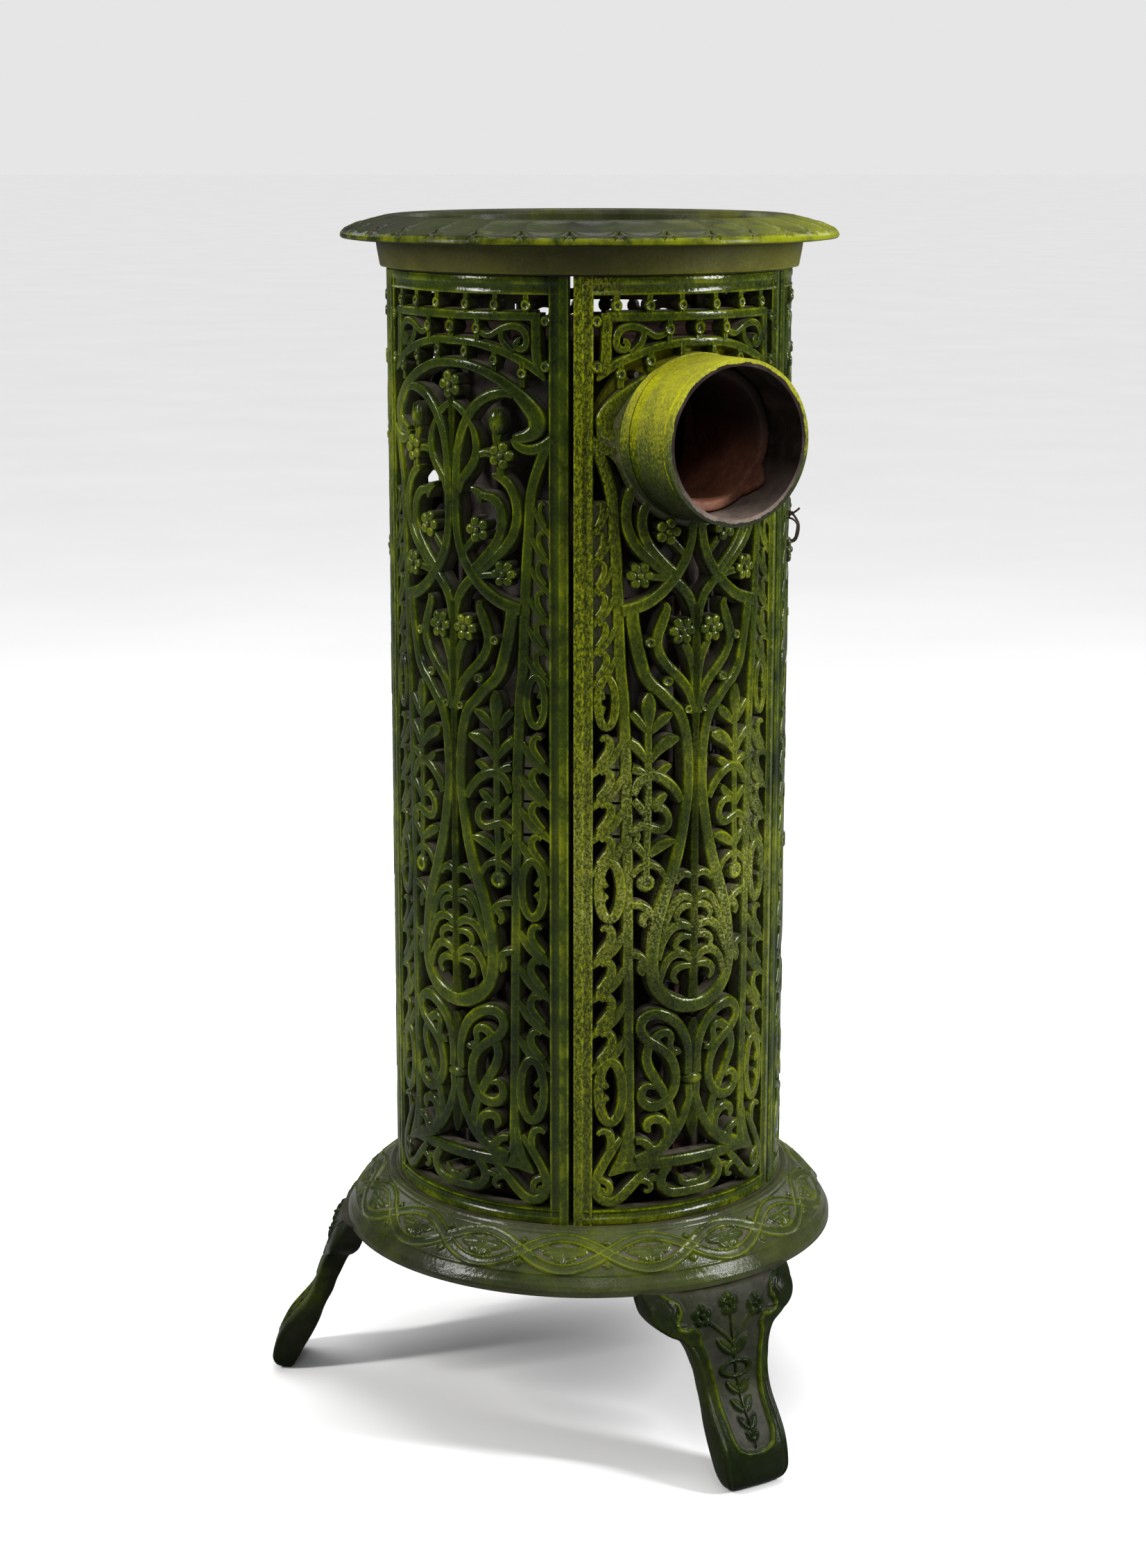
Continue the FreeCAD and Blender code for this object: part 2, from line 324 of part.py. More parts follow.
def leg():
    """One cabriole leg in the X direction, made by turning its side outline
    and keeping what lies inside its front outline."""
    f0 = Part.BSplineCurve(); f0.interpolate([V(r, 0, z) for r, z in leg_face])
    b0 = Part.BSplineCurve(); b0.interpolate([V(r, 0, z) for r, z in leg_rear])
    w = Part.Wire([f0.toShape(), Part.makeLine(V(205, 0, 150), V(190, 0, 145)), b0.toShape(),
                   Part.makeLine(V(252, 0, 0), V(262, 0, 0))])
    side = Part.Face(w).revolve(V(0, 0, 0), Z, 44)
    side.rotate(V(0, 0, 0), Z, -22)
    right = [(t, z) for t, z in leg_half_width]
    top = [(60, 147.8), (40, 146.2), (20, 145.1), (0, 144.7), (-20, 145.1), (-40, 146.2), (-60, 147.8)]
    pts = right[1:] + top + [(-t, z) for t, z in right[1:]][::-1]
    front = face_of([(150, t, z) for t, z in pts]).extrude(V(140, 0, 0))
    s = side.common(front)
    # the top steps round the base ring's lower edge
    s = s.cut(revolve([(150, 144.9), (202.7, 144.9), (202.7, 160), (150, 160)]))
    # the face carries a sunken panel between two raised edges
    panel = []
    for t, z in ((0, 30), (17, 33), (19, 44), (20, 70), (22, 88), (28, 104), (36, 114), (0, 120)):
        panel.append((t, z))
    outline = panel[:-1] + [(-t, z) for t, z in panel[1:-1]][::-1]
    f1 = Part.BSplineCurve(); f1.interpolate([V(r - 1.4, 0, z) for r, z in leg_face])
    w1 = Part.Wire([f1.toShape(), Part.makeLine(V(203.6, 0, 150), V(300, 0, 150)),
                    Part.makeLine(V(300, 0, 150), V(300, 0, 0)), Part.makeLine(V(300, 0, 0), V(260.6, 0, 0))])
    skin = Part.Face(w1).revolve(V(0, 0, 0), Z, 44)
    skin.rotate(V(0, 0, 0), Z, -22)
    sunk = face_of([(150, t, z) for t, z in outline]).extrude(V(140, 0, 0))
    s = s.cut(skin.common(sunk))
    # lug under the base ring's shelf
    lug = revolve([(191.6, 130), (195.0, 144.9), (193.6, 147.5), (188.9, 157), (181, 166.3), (172.3, 173.8),
                   (164.6, 179.3), (159.8, 181), (158, 182), (128.5, 182), (128.5, 176.1), (157, 176.1), (163, 172.5),
                   (170, 167.5), (178.5, 160), (186, 150), (189.6, 138)], -6.5, 13.0)
    s = s.fuse(lug)
    holes = [cyl(3.2, 170, 190, LEG_BOLT_R, t) for t in (-LEG_BOLT_T, LEG_BOLT_T)]
    return s.cut(holes)


one_leg = leg()
for name, a in LEG_ANGLES.items():
    keep(name, turned(one_leg, a))
keep("leg_bolts", *[fuse(hexagon(10, 171.5, 176, x, y), cyl(3.0, 176, 187.0, x, y)) for x, y in leg_bolt_xy])

# ------------------------------------------------------------------ top ring
rim = [(128, 927.5), (160.2, 927.5), (160.2, 929), (164.6, 929), (168, 950), (190, 950), (RIM_R, 951.1), (RIM_R, 954),
       (192, 957.6), (184, 961.4), (172, 965), (160, 967.6), (153, TOTAL_H), (149.5, 967), (147.5, 963.5), (147, 945),
       (141, 945), (141, 941), (151, 941), (152, 955), (153, 963), (160, 962.8), (172, 960.3), (184, 956.4),
       (187, 954.8), (165.2, 954.3), (160.6, 933), (128, 933)]
top = revolve(rim)
top = top.cut([cyl(ROD_R + 0.2, 900, 936, x, y) for x, y in rod_xy] +
              [cyl(PIN_R, 900, 933.6, x, y) for x, y in hinge_xy])
keep("top_ring", top)

LID_R = 146.0
lid = revolve([(0, 945.3), (LID_R, 945.3), (LID_R, 948.3), (LID_R - 1, 949.3), (0, 949.3)])
slots = []
for i in range(8):
    slots.append(turned(sector(70, 118, 940, 955, -4, 4), i * 45.0))
lid = lid.cut(slots + [cyl(4.0, 940, 950, 0, 0)])
keep("lid", lid)
keep("lid_knob", revolve([(0, 945.6), (4.0, 945.6), (4.0, 949.3), (5.0, 949.3), (5.0, 951.0), (10.5, 952.6),
                          (12, 955.5), (11, 959), (7, 961), (0, 961.6)]))

keep("tie_rods", *[cyl(ROD_R, 174.5, 940.0, x, y) for x, y in rod_xy])
nut = []
for x, y in rod_xy:
    for z0 in (177.0, 933.0):
        nut.append(hexagon(10, z0, z0 + 5, x, y).cut(cyl(ROD_R, z0 - 1, z0 + 6, x, y)))
keep("tie_rod_nuts", *nut)

# --------------------------------------------------------- floor and drums
NECK_AT, NECK_ANGLE = 117.0, 225.0
nx, ny = polar(NECK_AT, NECK_ANGLE)
floor = tube(46.0, 132.5, SHELF_Z, 192.6)
air = [turned(sector(78, 96, 180, 200, -2.4, 2.4), 7.5 + 15 * i) for i in range(24)]
floor = floor.cut(air + [cyl(10.0, 180, 200, nx, ny)])
keep("floor_plate", floor)

d0, d1 = DRUM_R
low = fuse(tube(d0, d1, 192.6, 375.0), tube(d1 - 0.5, 106.6, 192.6, 195.4), tube(d1 - 0.5, 106.4, 216.0, 221.5))
window = sector(95, 108, 228, 266, 255, 285)
low = low.cut([window, cyl_y(4.0, -110, -95, 0, SPINDLE_Z)])
keep("drum_lower", low)
keep("drum_middle", fuse(tube(d0, d1, 375.0, 555.0), tube(d1 - 0.5, 107.0, 375.0, 380.0), tube(d1, 107.0, 367.0, 375.0)))
keep("drum_neck", fuse(tube(d0, d1, 555.0, 682.0), tube(d1 - 0.5, 107.0, 555.0, 560.0), tube(d1, 107.0, 547.0, 555.0)))
u0, u1 = UPPER_DRUM_R
up = fuse(tube(u0, u1, 682.0, 872.0), tube(d0, u1, 682.0, 688.0), tube(d1, 107.0, 672.0, 682.0))
up = up.cut(cyl_y(56.0, 40, 130, 0, FLUE_Z))
keep("drum_upper", up)
keep("drum_cover", fuse(revolve([(0, 872), (130, 872), (130, 879), (127, 882), (90, 884), (0, 884.6)]), cyl(76.0, 866.4, 872.5)))

clay = tube(78.0, 113.0, 690.0, 866.0)
clay = clay.cut(cyl_y(LINER_R[1], 20, 130, 0, FLUE_Z))
keep("fireclay_ring", clay)
liner = tube_y(LINER_R[0], LINER_R[1], LINER_Y[0], LINER_Y[1], 0, FLUE_Z)
keep("flue_liner", liner)

seat_in, seat_out = CASE_R - CASE_T - 5.0, CASE_R - CASE_T
shell = sector(seat_in, seat_out, FLUE_Z - 80, FLUE_Z + 80, 55, 125).common(cyl_y(74.0, 90, 170, 0, FLUE_Z))
collar = fuse(cyl_y(FLUE_OUT_R, 121.0, FLUE_MOUTH_Y, 0, FLUE_Z), cyl_y(FLUE_ROOT_R, 121.0, CASE_R + 1.0, 0, FLUE_Z), shell)
collar = collar.cut([cyl_y(FLUE_BORE_R, 90, 220, 0, FLUE_Z)] +
                    [cyl_y(3.2, 120, 150, x, z) for x, z in bolt_axes] +
                    [cyl_y(6.6, 110, 133, x, z) for x, z in bolt_axes])
keep("flue_collar", collar)
cb = []
for x, z in bolt_axes:
    head = hexagon(10, 0, 4.6, 0, 0)
    head.rotate(V(0, 0, 0), V(1, 0, 0), -90)
    head.translate(V(x, 128.4, z))
    cb.append(fuse(head, cyl_y(3.0, 133.0, 148.0, x, z)))
keep("collar_bolts", *cb)

stay = fuse(box(-4, 4, 133, 137, SHELF_Z, 743.5), box(-4, 4, 136, 142, 735.5, 743.5))
stay = stay.common(cyl(seat_in, 100, 900))
keep("flue_stay", stay)

# -------------------------------------------------------- tank and burner
t0, t1 = 118.0, 168.0
tank = revolve([(24, t0), (TANK_R, t0), (TANK_R, t1), (42, t1), (42, t1 - 1.5), (TANK_R - 1.5, t1 - 1.5),
                (TANK_R - 1.5, t0 + 1.5), (26, t0 + 1.5), (26, 262), (24, 262)])
neck = cyl(6.5, t1 - 1.0, 200.0, nx, ny)
tank = tank.fuse(neck).cut(cyl(5.0, t1 - 10, 205, nx, ny))
keep("tank", tank)
keep("filler_cap", cyl(9.0, 196.0, 206.0, nx, ny).cut(cyl(6.9, 190, 200.4, nx, ny)))
keep("tank_posts", *[cyl(5.0, t1, SHELF_Z, *polar(70.0, 45.0 + 90.0 * i)) for i in range(4)])

bt = revolve([(42, t1 - 1.5), (44, t1 - 1.5), (44, 246), (36.8, 262), (34.8, 262), (42, 246)])
bt = bt.cut(cyl(60, 150, t1))
bt = bt.cut(cyl_y(5.0, -50, -35, 0, SPINDLE_Z))
keep("burner_tube", bt)
gal = fuse(tube(44.0, 58.0, 232, 234), tube(56.0, 58.0, 234, 268))
holes = []
for i in range(16):
    h = Part.makeCylinder(3.0, 8, V(53, 0, 243 + 12 * (i % 2)), V(1, 0, 0))
    holes.append(turned(h, 22.5 * i))
keep("burner_gallery", gal.cut(holes))
spider = fuse(tube(21.0, 24.0, 252, 259), box(-22, 22, -1.5, 1.5, 253, 258), box(-1.5, 1.5, -22, 22, 253, 258),
              cyl(4.0, 253, 281), revolve([(0, 280), (22, 280), (26, 282.5), (26, 284), (20, 285), (0, 285)]))
keep("flame_spreader", spider)

keep("wick", tube(28.0, 33.0, 124.0, 266.0))




RACK_X, RACK_Y = -PINION_R, (-40.0, -36.2)
TIP, ROOT = 0.80, 1.15
rack_pts = [(-8.2, 182.0), (RACK_X - ROOT, 182.0)]
zc = SPINDLE_Z - 7 * pi
while zc < SPINDLE_Z + 8 * pi:
    if zc - 1.3 > 182.0 and zc + 1.3 < 228.0:
        rack_pts += [(RACK_X - ROOT, zc - 1.0), (RACK_X + TIP, zc - 0.3), (RACK_X + TIP, zc + 0.3),
                     (RACK_X - ROOT, zc + 1.0)]
    zc += pi
rack_pts += [(RACK_X - ROOT, 228.0), (-8.2, 228.0)]
rack = face_of([(x, RACK_Y[0], z) for x, z in rack_pts]).extrude(V(0, RACK_Y[1] - RACK_Y[0], 0))
lugs = fuse(box(-8.2, RACK_X - ROOT, RACK_Y[1] - 0.5, -32.6, 183, 189), box(-8.2, RACK_X - ROOT, RACK_Y[1] - 0.5, -32.6, 221, 227))
carrier = fuse(tube(33.0, 34.3, 176.0, 240.0), rack, lugs.cut(cyl(33.5, 170, 250)))
keep("wick_carrier", carrier)

teeth = [cyl_y(PINION_R - 1.25, -40.5, -36.0)]
for i in range(8):
    pts = [(2.0, -0.8), (2.9, -0.8), (4.0, -0.55), (4.8, -0.2), (4.8, 0.2), (4.0, 0.55), (2.9, 0.8), (2.0, 0.8)]
    t = face_of([(x, -40.5, y) for x, y in pts]).extrude(V(0, 4.5, 0))
    t.rotate(V(0, 0, 0), V(0, 1, 0), 45.0 * i + 22.5)
    teeth.append(t)
pinion = fuse(*teeth)
pinion.translate(V(0, 0, SPINDLE_Z))
spindle = fuse(pinion, cyl_y(PIN_R, -133.0, -40.0, 0, SPINDLE_Z))
keep("wick_spindle", spindle)
keep("spindle_bush", tube_y(PIN_HOLE_R, 5.0, -58.0, -41.4, 0, SPINDLE_Z))
kn = revolve([(PIN_R, -4.5), (9.6, -4.5), (11, -3.2), (11, 3.4), (9.0, 5.0), (PIN_R, 5.0)])
grip = [Part.makeCylinder(1.3, 14, V(*polar(11.6, 30 * i), -7), Z) for i in range(12)]
kn = kn.cut(grip)
kn.rotate(V(0, 0, 0), V(1, 0, 0), 90)
kn.translate(V(0, -130.0, SPINDLE_Z))
keep("wick_knob", kn)

# draught and lighting shutter round the drum's window
sh = tube(104.4, 106.4, 222.0, 272.0).cut(sector(95, 110, 228, 266, 210, 240))
handle = fuse(box(105.6, 118, -2, 2, 240, 250), cyl(4.0, 239, 251, 119, 0))
sh = fuse(sh, turned(handle.cut(cyl(105.5, 200, 300)), 247.0))
keep("shutter_ring", sh)

# wire loop hooked round one band of the left panel
LOOP_ANGLE = PANEL_ANGLES["panel_left"] + degrees(LOOP_U / CASE_R)
LOOP_Z = SHELF_Z + LOOP_V
loop = Part.makeTorus(10.6, 1.1, V(153, 0, LOOP_Z), V(0, 1, 0))
a, b = V(163.5, 0, LOOP_Z - 1.0), V(165.0, 0, LOOP_Z - 17.5)
d = b.sub(a)
tail = fuse(Part.makeCylinder(1.1, d.Length, a.add(V(0, 0.9, 0)), d), Part.makeCylinder(1.1, d.Length - 3, a.add(V(0, -0.9, 0)), d))
loop = fuse(loop, tail)
keep("wire_loop", turned(loop, LOOP_ANGLE))

# -------------------------------------------------------------------- export
os.makedirs("parts", exist_ok=True)
for name in sorted(PARTS):
    PARTS[name].exportStep("parts/%s.step" % name)
    bb = PARTS[name].BoundBox
    print("%-18s solids %2d valid %s vol %10.0f  x %7.1f %7.1f y %7.1f %7.1f z %7.1f %7.1f" % (
        name, len(PARTS[name].Solids), PARTS[name].isValid(), PARTS[name].Volume,
        bb.XMin, bb.XMax, bb.YMin, bb.YMax, bb.ZMin, bb.ZMax))
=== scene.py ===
"""Detailed visual model of the openwork column heater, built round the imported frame."""
import json
import math
import random

import bpy
import numpy as np
from mathutils import Matrix, Vector, Euler


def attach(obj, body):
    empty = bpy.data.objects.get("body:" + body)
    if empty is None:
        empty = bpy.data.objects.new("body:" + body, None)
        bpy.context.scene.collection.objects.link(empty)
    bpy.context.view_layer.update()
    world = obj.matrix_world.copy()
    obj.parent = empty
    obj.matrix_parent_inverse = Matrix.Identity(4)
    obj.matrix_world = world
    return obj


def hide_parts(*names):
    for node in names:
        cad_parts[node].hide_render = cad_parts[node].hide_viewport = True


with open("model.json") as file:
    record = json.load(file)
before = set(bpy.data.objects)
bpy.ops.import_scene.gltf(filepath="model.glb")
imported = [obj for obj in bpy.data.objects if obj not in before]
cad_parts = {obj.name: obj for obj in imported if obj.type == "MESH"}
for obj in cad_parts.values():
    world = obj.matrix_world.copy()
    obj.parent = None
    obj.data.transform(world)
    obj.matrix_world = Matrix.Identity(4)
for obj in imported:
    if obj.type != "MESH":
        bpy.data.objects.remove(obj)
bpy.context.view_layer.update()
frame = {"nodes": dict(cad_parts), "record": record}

random.seed(7)
RNG = np.random.default_rng(7)
pi, sin, cos, rad = math.pi, math.sin, math.cos, math.radians

# ---------------------------------------------------------------- layout (mm)
YS = -33.4            # casing axis in the row frame
R = 160.0             # outer radius of the openwork
FOOT = 188.6          # the panels' foot
HALF = 98.83          # half of a panel's arc
BIN = 83.6            # inner edge of the side bars
PANELS = {"panel_back": 90.0, "panel_right": 18.0, "panel_left": 162.0, "door_left": 234.0, "door_right": 306.0}
FLUE_Z = 807.7
ST=[
('sp_top',0,[(-2,709.3,6.5),(30,709.3,6.5),(60,709.3,6.5),(74,709.3,6.5)]),
('sp_side',0,[(73.8,712,7.5),(73.8,695,7.5),(74,682,7.5),(75.5,673,7),(78,667,5),(80.5,662.5,1.5)]),
('sp_arch',0,[(-2,690,6),(15,689.7,6),(30,687.5,6),(45,683.5,6.2),(60,677.8,6.5),(70,672.5,6.5),(76,668,5.5),(80.5,663,1.5)]),
('sp_scroll',0.5,[(27,698,4),(31,695.5,4),(36,694.8,4.2),(42,698,4.5),(49,701,4.8),(57,702,5),(63.5,699.5,5.2),(66.5,693.5,5),(65.5,687.5,5),(61.5,685,5),(58.3,687,4.5),(58.5,690.8,4),(61.5,691.5,3)]),
('sp_c',0,[(47,701,3),(45.5,696,4),(47,690.5,4.5),(51,686.5,4.5),(56,682.5,4)]),
('arch',1,[(-2,673.4,6.5),(15,672.4,6.7),(30,668.4,7.2),(45,661.7,8.2),(58,652.9,10),(68,643.4,12.5),(74.5,633.9,14),(73.5,625.9,12.5),(66.5,620.7,9),(60,619.2,7),(55.5,618.9,4.5)]),
('lip',0.5,[(55.5,619,4.5),(58,614.5,6),(64,611.3,7),(71,610.8,7.5),(78,613.2,7.5),(86.5,619,7)]),
('bar',0,[(83,616,8),(79.5,608,9.2),(75.6,598,9.2),(71.6,586,9.2),(68.9,572,9.3),(68.1,555,9.4),(66.6,535,9.4),(65.4,515,9.5),(64.6,495,9.5),(63.6,470,9.5),(62.6,445,9.6),(60,420,9.6),(58.7,390,9.6),(57.5,360,9.5),(57,330,9.4),(56.6,300,9.4),(56.3,270,9.3),(56,240,9.2),(55.5,200,9.2),(55,160,9.3),(54.5,120,9.4),(54,85,9.5),(53.6,60,9.6),(53.5,44,9.6)]),
('stem0',0.6,[(0,650,6.5),(0,640,7),(0,628,6),(0,614,5),(0,602,4),(0,590,2)]),
('sepal',0.8,[(2,643,4.5),(8,639.5,5.5),(13,635.5,5.5),(17.5,631,3.5)]),
('A',1.2,[(55.5,649.5,2),(51,651.8,4.5),(46,652.3,6.3),(38,650.8,7.6),(29,646.8,8),(21,639.8,8),(14,630,8),(9,619,8),(6,606,8),(4.6,592,7.9),(3.8,575,7.8),(3.8,560,7.8),(5,544,7.9),(9.3,529.5,8.2),(15.5,518.8,8.6),(22.6,510.3,9),(31,502.5,9.2),(43,495,9.4),(57,490.7,9.4),(61,490,9)]),
('hook',0.6,[(6,576,6),(8.5,584,7),(13.5,590,7.4),(19,596.5,7.5),(22.8,604,7.4),(23.8,612,7),(22.5,620,6),(19.5,627,4),(16.5,631.5,2)]),
('M4',0.6,[(38.5,590.5,3),(42,590,5.5),(48,587.3,7.4),(54.2,580.3,8),(58,569.5,8),(58.3,558,8),(55.5,547.5,8),(50,538.5,8),(43,531,8),(35,524,8),(27,517.7,8),(20,512.2,8),(13,506,8),(7,498.5,8),(3,489,8),(1.5,478,7.5)]),
('M5',1,[(19,579.6,3),(22.5,578.6,5),(27,576,5.5),(31,574.6,5.5),(37.5,573.3,7.2),(43.5,567.8,8),(46.3,559,8),(45.3,549.5,8),(41.5,540.5,8),(35.7,532.8,8),(29.5,526.2,8),(23,519.8,8),(17,515,7.5)]),
('M5b',1,[(24.5,577.5,4.5),(27,573.5,4),(27.6,569,1.5)]),
('f3s',0.5,[(20.5,541.5,5),(16,536.5,5),(11,531.5,5)]),
('f4s',0.5,[(40,515,5),(33,514.5,5),(25,513,5)]),
('f1s',0.5,[(27,606,5.5),(32,607,5),(38,606,5)]),
('f1t',0.5,[(44.5,598,5.5),(45,593.5,6),(46,588.5,6)]),
('neck',0.5,[(42.5,613,5.5),(41.5,618,6.5),(42,622,8)]),
('f2s',0.5,[(11.5,463.5,6),(7.5,457.5,7.5),(4,449,8),(2,438,7.5),(1,425,6)]),
('L2',1,[(27.3,494.8,2.5),(25.8,490.5,6.5),(27.3,485.5,8),(30.2,478,9),(33.2,470,8.6),(33.3,461.5,8.2),(30,453,8),(23.8,445,8),(15.6,437,8),(8.5,428.5,8),(4,419,7.5),(2,408,7)]),
('V1',1.2,[(54,492,9.5),(53.4,484,9.6),(51.8,474,9.6),(49.4,462,9.6),(46.4,450,9.5),(43.6,441,9.3),(37.6,432.4,9),(29.4,425.6,9),(22,417.4,9),(14.5,409.5,9),(10,398,9),(7.6,385,9),(6.5,371,9),(6.2,357,9),(7,343,9.2),(9,329,9.6),(11.8,314,10),(15.3,299,10.5),(19.5,285,11),(24.3,271.5,11.4),(28.9,258,11.4),(32.6,244,11.2),(35,230,10.8),(36.3,215,10.6),(35.6,203,10.8),(32.6,193.5,11),(27,185.8,11.2),(19.5,180,11.4),(10,176,11.5),(0,174.7,11.6),(-3,174.8,11.6)]),
('col',0.8,[(0,492,8),(0,470,8.2),(0,440,8.4),(0,415,8),(0,395,6.6),(0,370,5.6),(0,345,6),(0,320,7),(0,290,7.6),(0,250,7.8),(0,215,8),(0,190,9),(0,180,12)]),
('t1',0.8,[(2,211.8,6),(7,216.3,6.6),(14.5,218.1,6.8),(21.5,215.3,6.8),(26.3,208.8,6.6),(29,200.8,6),(30.5,192.8,4)]),
('c1',0.6,[(3,207.4,4),(8,207.6,5),(13.5,206.6,6),(17.8,203,6.2),(18,198.6,5),(14.3,194.6,2)]),
('t2',0.8,[(2,236.8,6),(7.5,240.1,6.6),(14.5,240.6,6.8),(21.5,237.1,6.8),(26.5,230.3,6.6),(29.5,222.8,6),(31,214.8,4)]),
('c2',0.6,[(3,230.6,4),(8,231.3,5),(13,230,5.6),(16.3,226.4,5.6),(16,222.6,4.5),(12.8,219.6,2)]),
('t3',0.8,[(2,260.8,6),(8,263.6,6.4),(14,262,6.6),(19,256.8,6.6),(22.5,249.8,6.2),(25.5,241.8,5),(27.5,234.8,3.5)]),
('c3',0.6,[(3,255.6,4),(7.5,255.8,5),(12.5,253.6,5.6),(15.6,249.8,5.6),(15.2,245.8,4.5),(12,242.8,2)]),
('t4',0.6,[(2,279.3,5),(7.5,281.4,5.4),(12.5,280,5.4),(17,275.3,5)]),
('k277',0.4,[(25.5,280,4),(29.5,286.5,4.6),(36,290.6,5),(43.5,290.8,5),(49.5,287.3,5),(53,283,4.5)]),
('k250',0.5,[(33,244,4),(36,251,5.5),(41,256.8,5.8),(47,259.4,5.4),(53,260,5)]),
('k250b',0.5,[(38.5,254,5),(42.5,250.5,6.5),(44.2,246,5.5),(42,242.5,3)]),
('k218',0.5,[(41.5,206,4),(42,212.5,6),(44.5,217.5,6),(49,219.8,5.2),(54,220.5,5)]),
('k218b',0.5,[(44,214.5,5),(46,210.5,5),(45.4,206,4),(43,203.8,2.5)]),
('spr',0.6,[(41.5,284,5.5),(41.3,300,5.5),(40.6,320,5.5),(40.2,345,5.5),(40.2,370,5.2),(40.2,395,5),(40.2,410,4)]),
('ylL1',0.8,[(38.5,395.5,3.5),(34.5,399.5,6.5),(29.5,404,8.6),(25,407.2,7.4),(21,409.2,2.5)]),
('ylR1',0.6,[(42,397,3.5),(45.5,401.5,5.5),(49.5,406.5,6.5),(54,411.5,5)]),
('ylL2',0.8,[(38.5,373,4),(34,379.5,7.5),(28,385,10),(21,388,9),(15,389.5,2.5)]),
('ylR2',0.6,[(42,374,4),(45.5,379.5,6.5),(50,384.5,7.5),(55.5,389,6)]),
('ytop',0.8,[(40.2,398,4),(40,407,9),(40,415,11.5),(40,421.5,9),(40,426.3,2.5)]),
('arc36',1.2,[(13,340,5),(16,346.5,7),(21.5,353.3,7.4),(28.5,358.8,7.4),(36.5,361.6,7.4),(44,360,7.4),(49,354.5,7.2),(52,347,5)]),
('lf36',0.6,[(34,361.5,5),(29,365,7),(24.5,367.8,5.5),(21.5,369,2)]),
('lf36r',0.6,[(42,362,5),(47,365.5,6.5),(53,367.5,5.5)]),
('bow1',0.8,[(38,337,5),(32.5,340.5,7),(28.5,344,6.5),(25.3,347,2.5)]),
('bow2',1,[(36,335.5,5),(30,336,5.8),(25.3,332,6),(23.2,326,6.4),(25,320.5,6.4),(30.5,318.2,6.2),(37,320.2,6.2),(44,322.5,6.2),(50,320,6),(54,316.5,5)]),
('bow3',0.6,[(42,331,4),(46.5,337,6),(52,343,5.5)]),
('lfL3',0.8,[(39,299,4.5),(34,303,8),(28,306.5,8.6),(22.5,308.3,6.5),(18,309,2.5)]),
('lfR3',0.6,[(43,299,4),(47,304.5,6.5),(53,309.5,5.5)]),
('bow4',0.6,[(50,320,4),(48.5,314.5,4.5),(50.5,309,3)]),
('K1',1.2,[(4.5,119,7),(3.8,131,7.4),(4.6,140.4,8),(7.6,150.9,8.4),(13.5,160.4,8.6),(22,167.2,8.6),(31,170.8,8.6),(39,170.4,8.6),(44.5,165.6,8.2),(45.2,158.4,8),(41,151.6,8),(34,146.4,8),(26.5,140.9,8),(20,134.1,8),(16.4,125.9,8.2),(15.4,116.4,8.3),(17.4,107.4,8.4),(22.5,100.2,8.4),(30,96.1,8.4),(38,96.4,8.2),(43.8,101.4,7.6),(44.5,107.9,7),(41,112.4,6),(36.5,112.6,4),(33.5,110.6,2)]),
('K2',0.5,[(11,139.1,3.5),(15,137.6,5),(19.3,140.1,5.6),(20.6,145.6,5.8),(19.6,151.2,6),(22.8,154.9,6.6),(28.5,154.6,7.4),(34.5,149.9,8),(39,143.1,8.2),(40.3,135.1,8.2),(37.8,126.6,8.2),(33,118.1,8),(27.5,109.1,8),(22.6,99.6,8),(19,89.6,8),(17,79.6,8),(15.5,70.6,7)]),
('K0',0.8,[(0,118,7),(0,134,4.5),(0,147,7),(0,156,10),(0,161,8),(0,165,2.5)]),
('K3',1,[(3.8,111,7),(3,100.8,7.4),(5.5,91.8,8),(9.5,82.3,8.4),(15,73.3,8.8),(22.5,64.8,9.4),(31.5,58.3,10),(40.5,54.3,11),(48.5,51.8,10)]),
('K4',1.2,[(37.8,75.3,2),(39.8,78.5,6),(39.4,82.6,7.2),(34.3,85.4,7.4),(27.8,83.8,7.4),(23.4,78.5,7.4),(22.1,71.5,7.6),(24.6,64.5,7.8),(30.3,59.8,7.8),(36.3,60.5,7.4),(39.8,65,6.8),(44.8,68,5.5),(48.8,68,5)]),
('Kb',0.8,[(0,110,7),(0,97,5.5),(0,87,9),(0,78,11.5),(0,72,9),(0,65.5,2.5)]),
('lbar',0.2,[(-2,48,9.2),(20,48,9.2),(40,48,9.2),(56,48,9.4),(62,45.5,7),(70,41.3,1.5)]),
('spur',0.2,[(56,78,5),(57.5,66,7),(60.5,55,8),(65,47.5,6),(70.3,41,1.5)]),
('c_ring',0.6,[(-2,21.8,8),(9,21.7,8),(18.5,22.7,7.8),(25.3,27.2,8.2),(27.7,33.7,8.6),(25,40.2,8.6),(20,45.2,7)]),
('c_curl',0.8,[(11.5,36.2,2.5),(10.5,31.7,4.5),(6.5,28.2,5.5),(1.5,27.7,6),(-2,28.2,6)]),
('c_s',1,[(38,44.7,4),(43,40.7,6.5),(50,33.7,7.6),(57,26.2,8),(64,20.7,8),(71.5,19.2,7.8),(78,23.2,8),(81,30.2,8),(80.3,39.2,8),(76,48.7,7.2),(70.6,57.7,7),(65.5,65.2,5.5),(61,72.2,3.5)]),
('c_bud',0.8,[(80,38.7,5),(76,37.2,5),(71.5,34.7,5),(69.6,30.2,5),(72,26.4,5),(76,27.7,4.5),(75.5,31.2,3.5)]),
('c_c',0.6,[(49,35.7,5),(43.5,35.5,5),(38.5,33.2,4.8),(36,29.2,4.4),(38.5,25.8,3),(42,26.7,2)]),
('c_l',0.2,[(30,36.2,4.5),(35,35.7,4.5),(39,33.7,4)]),
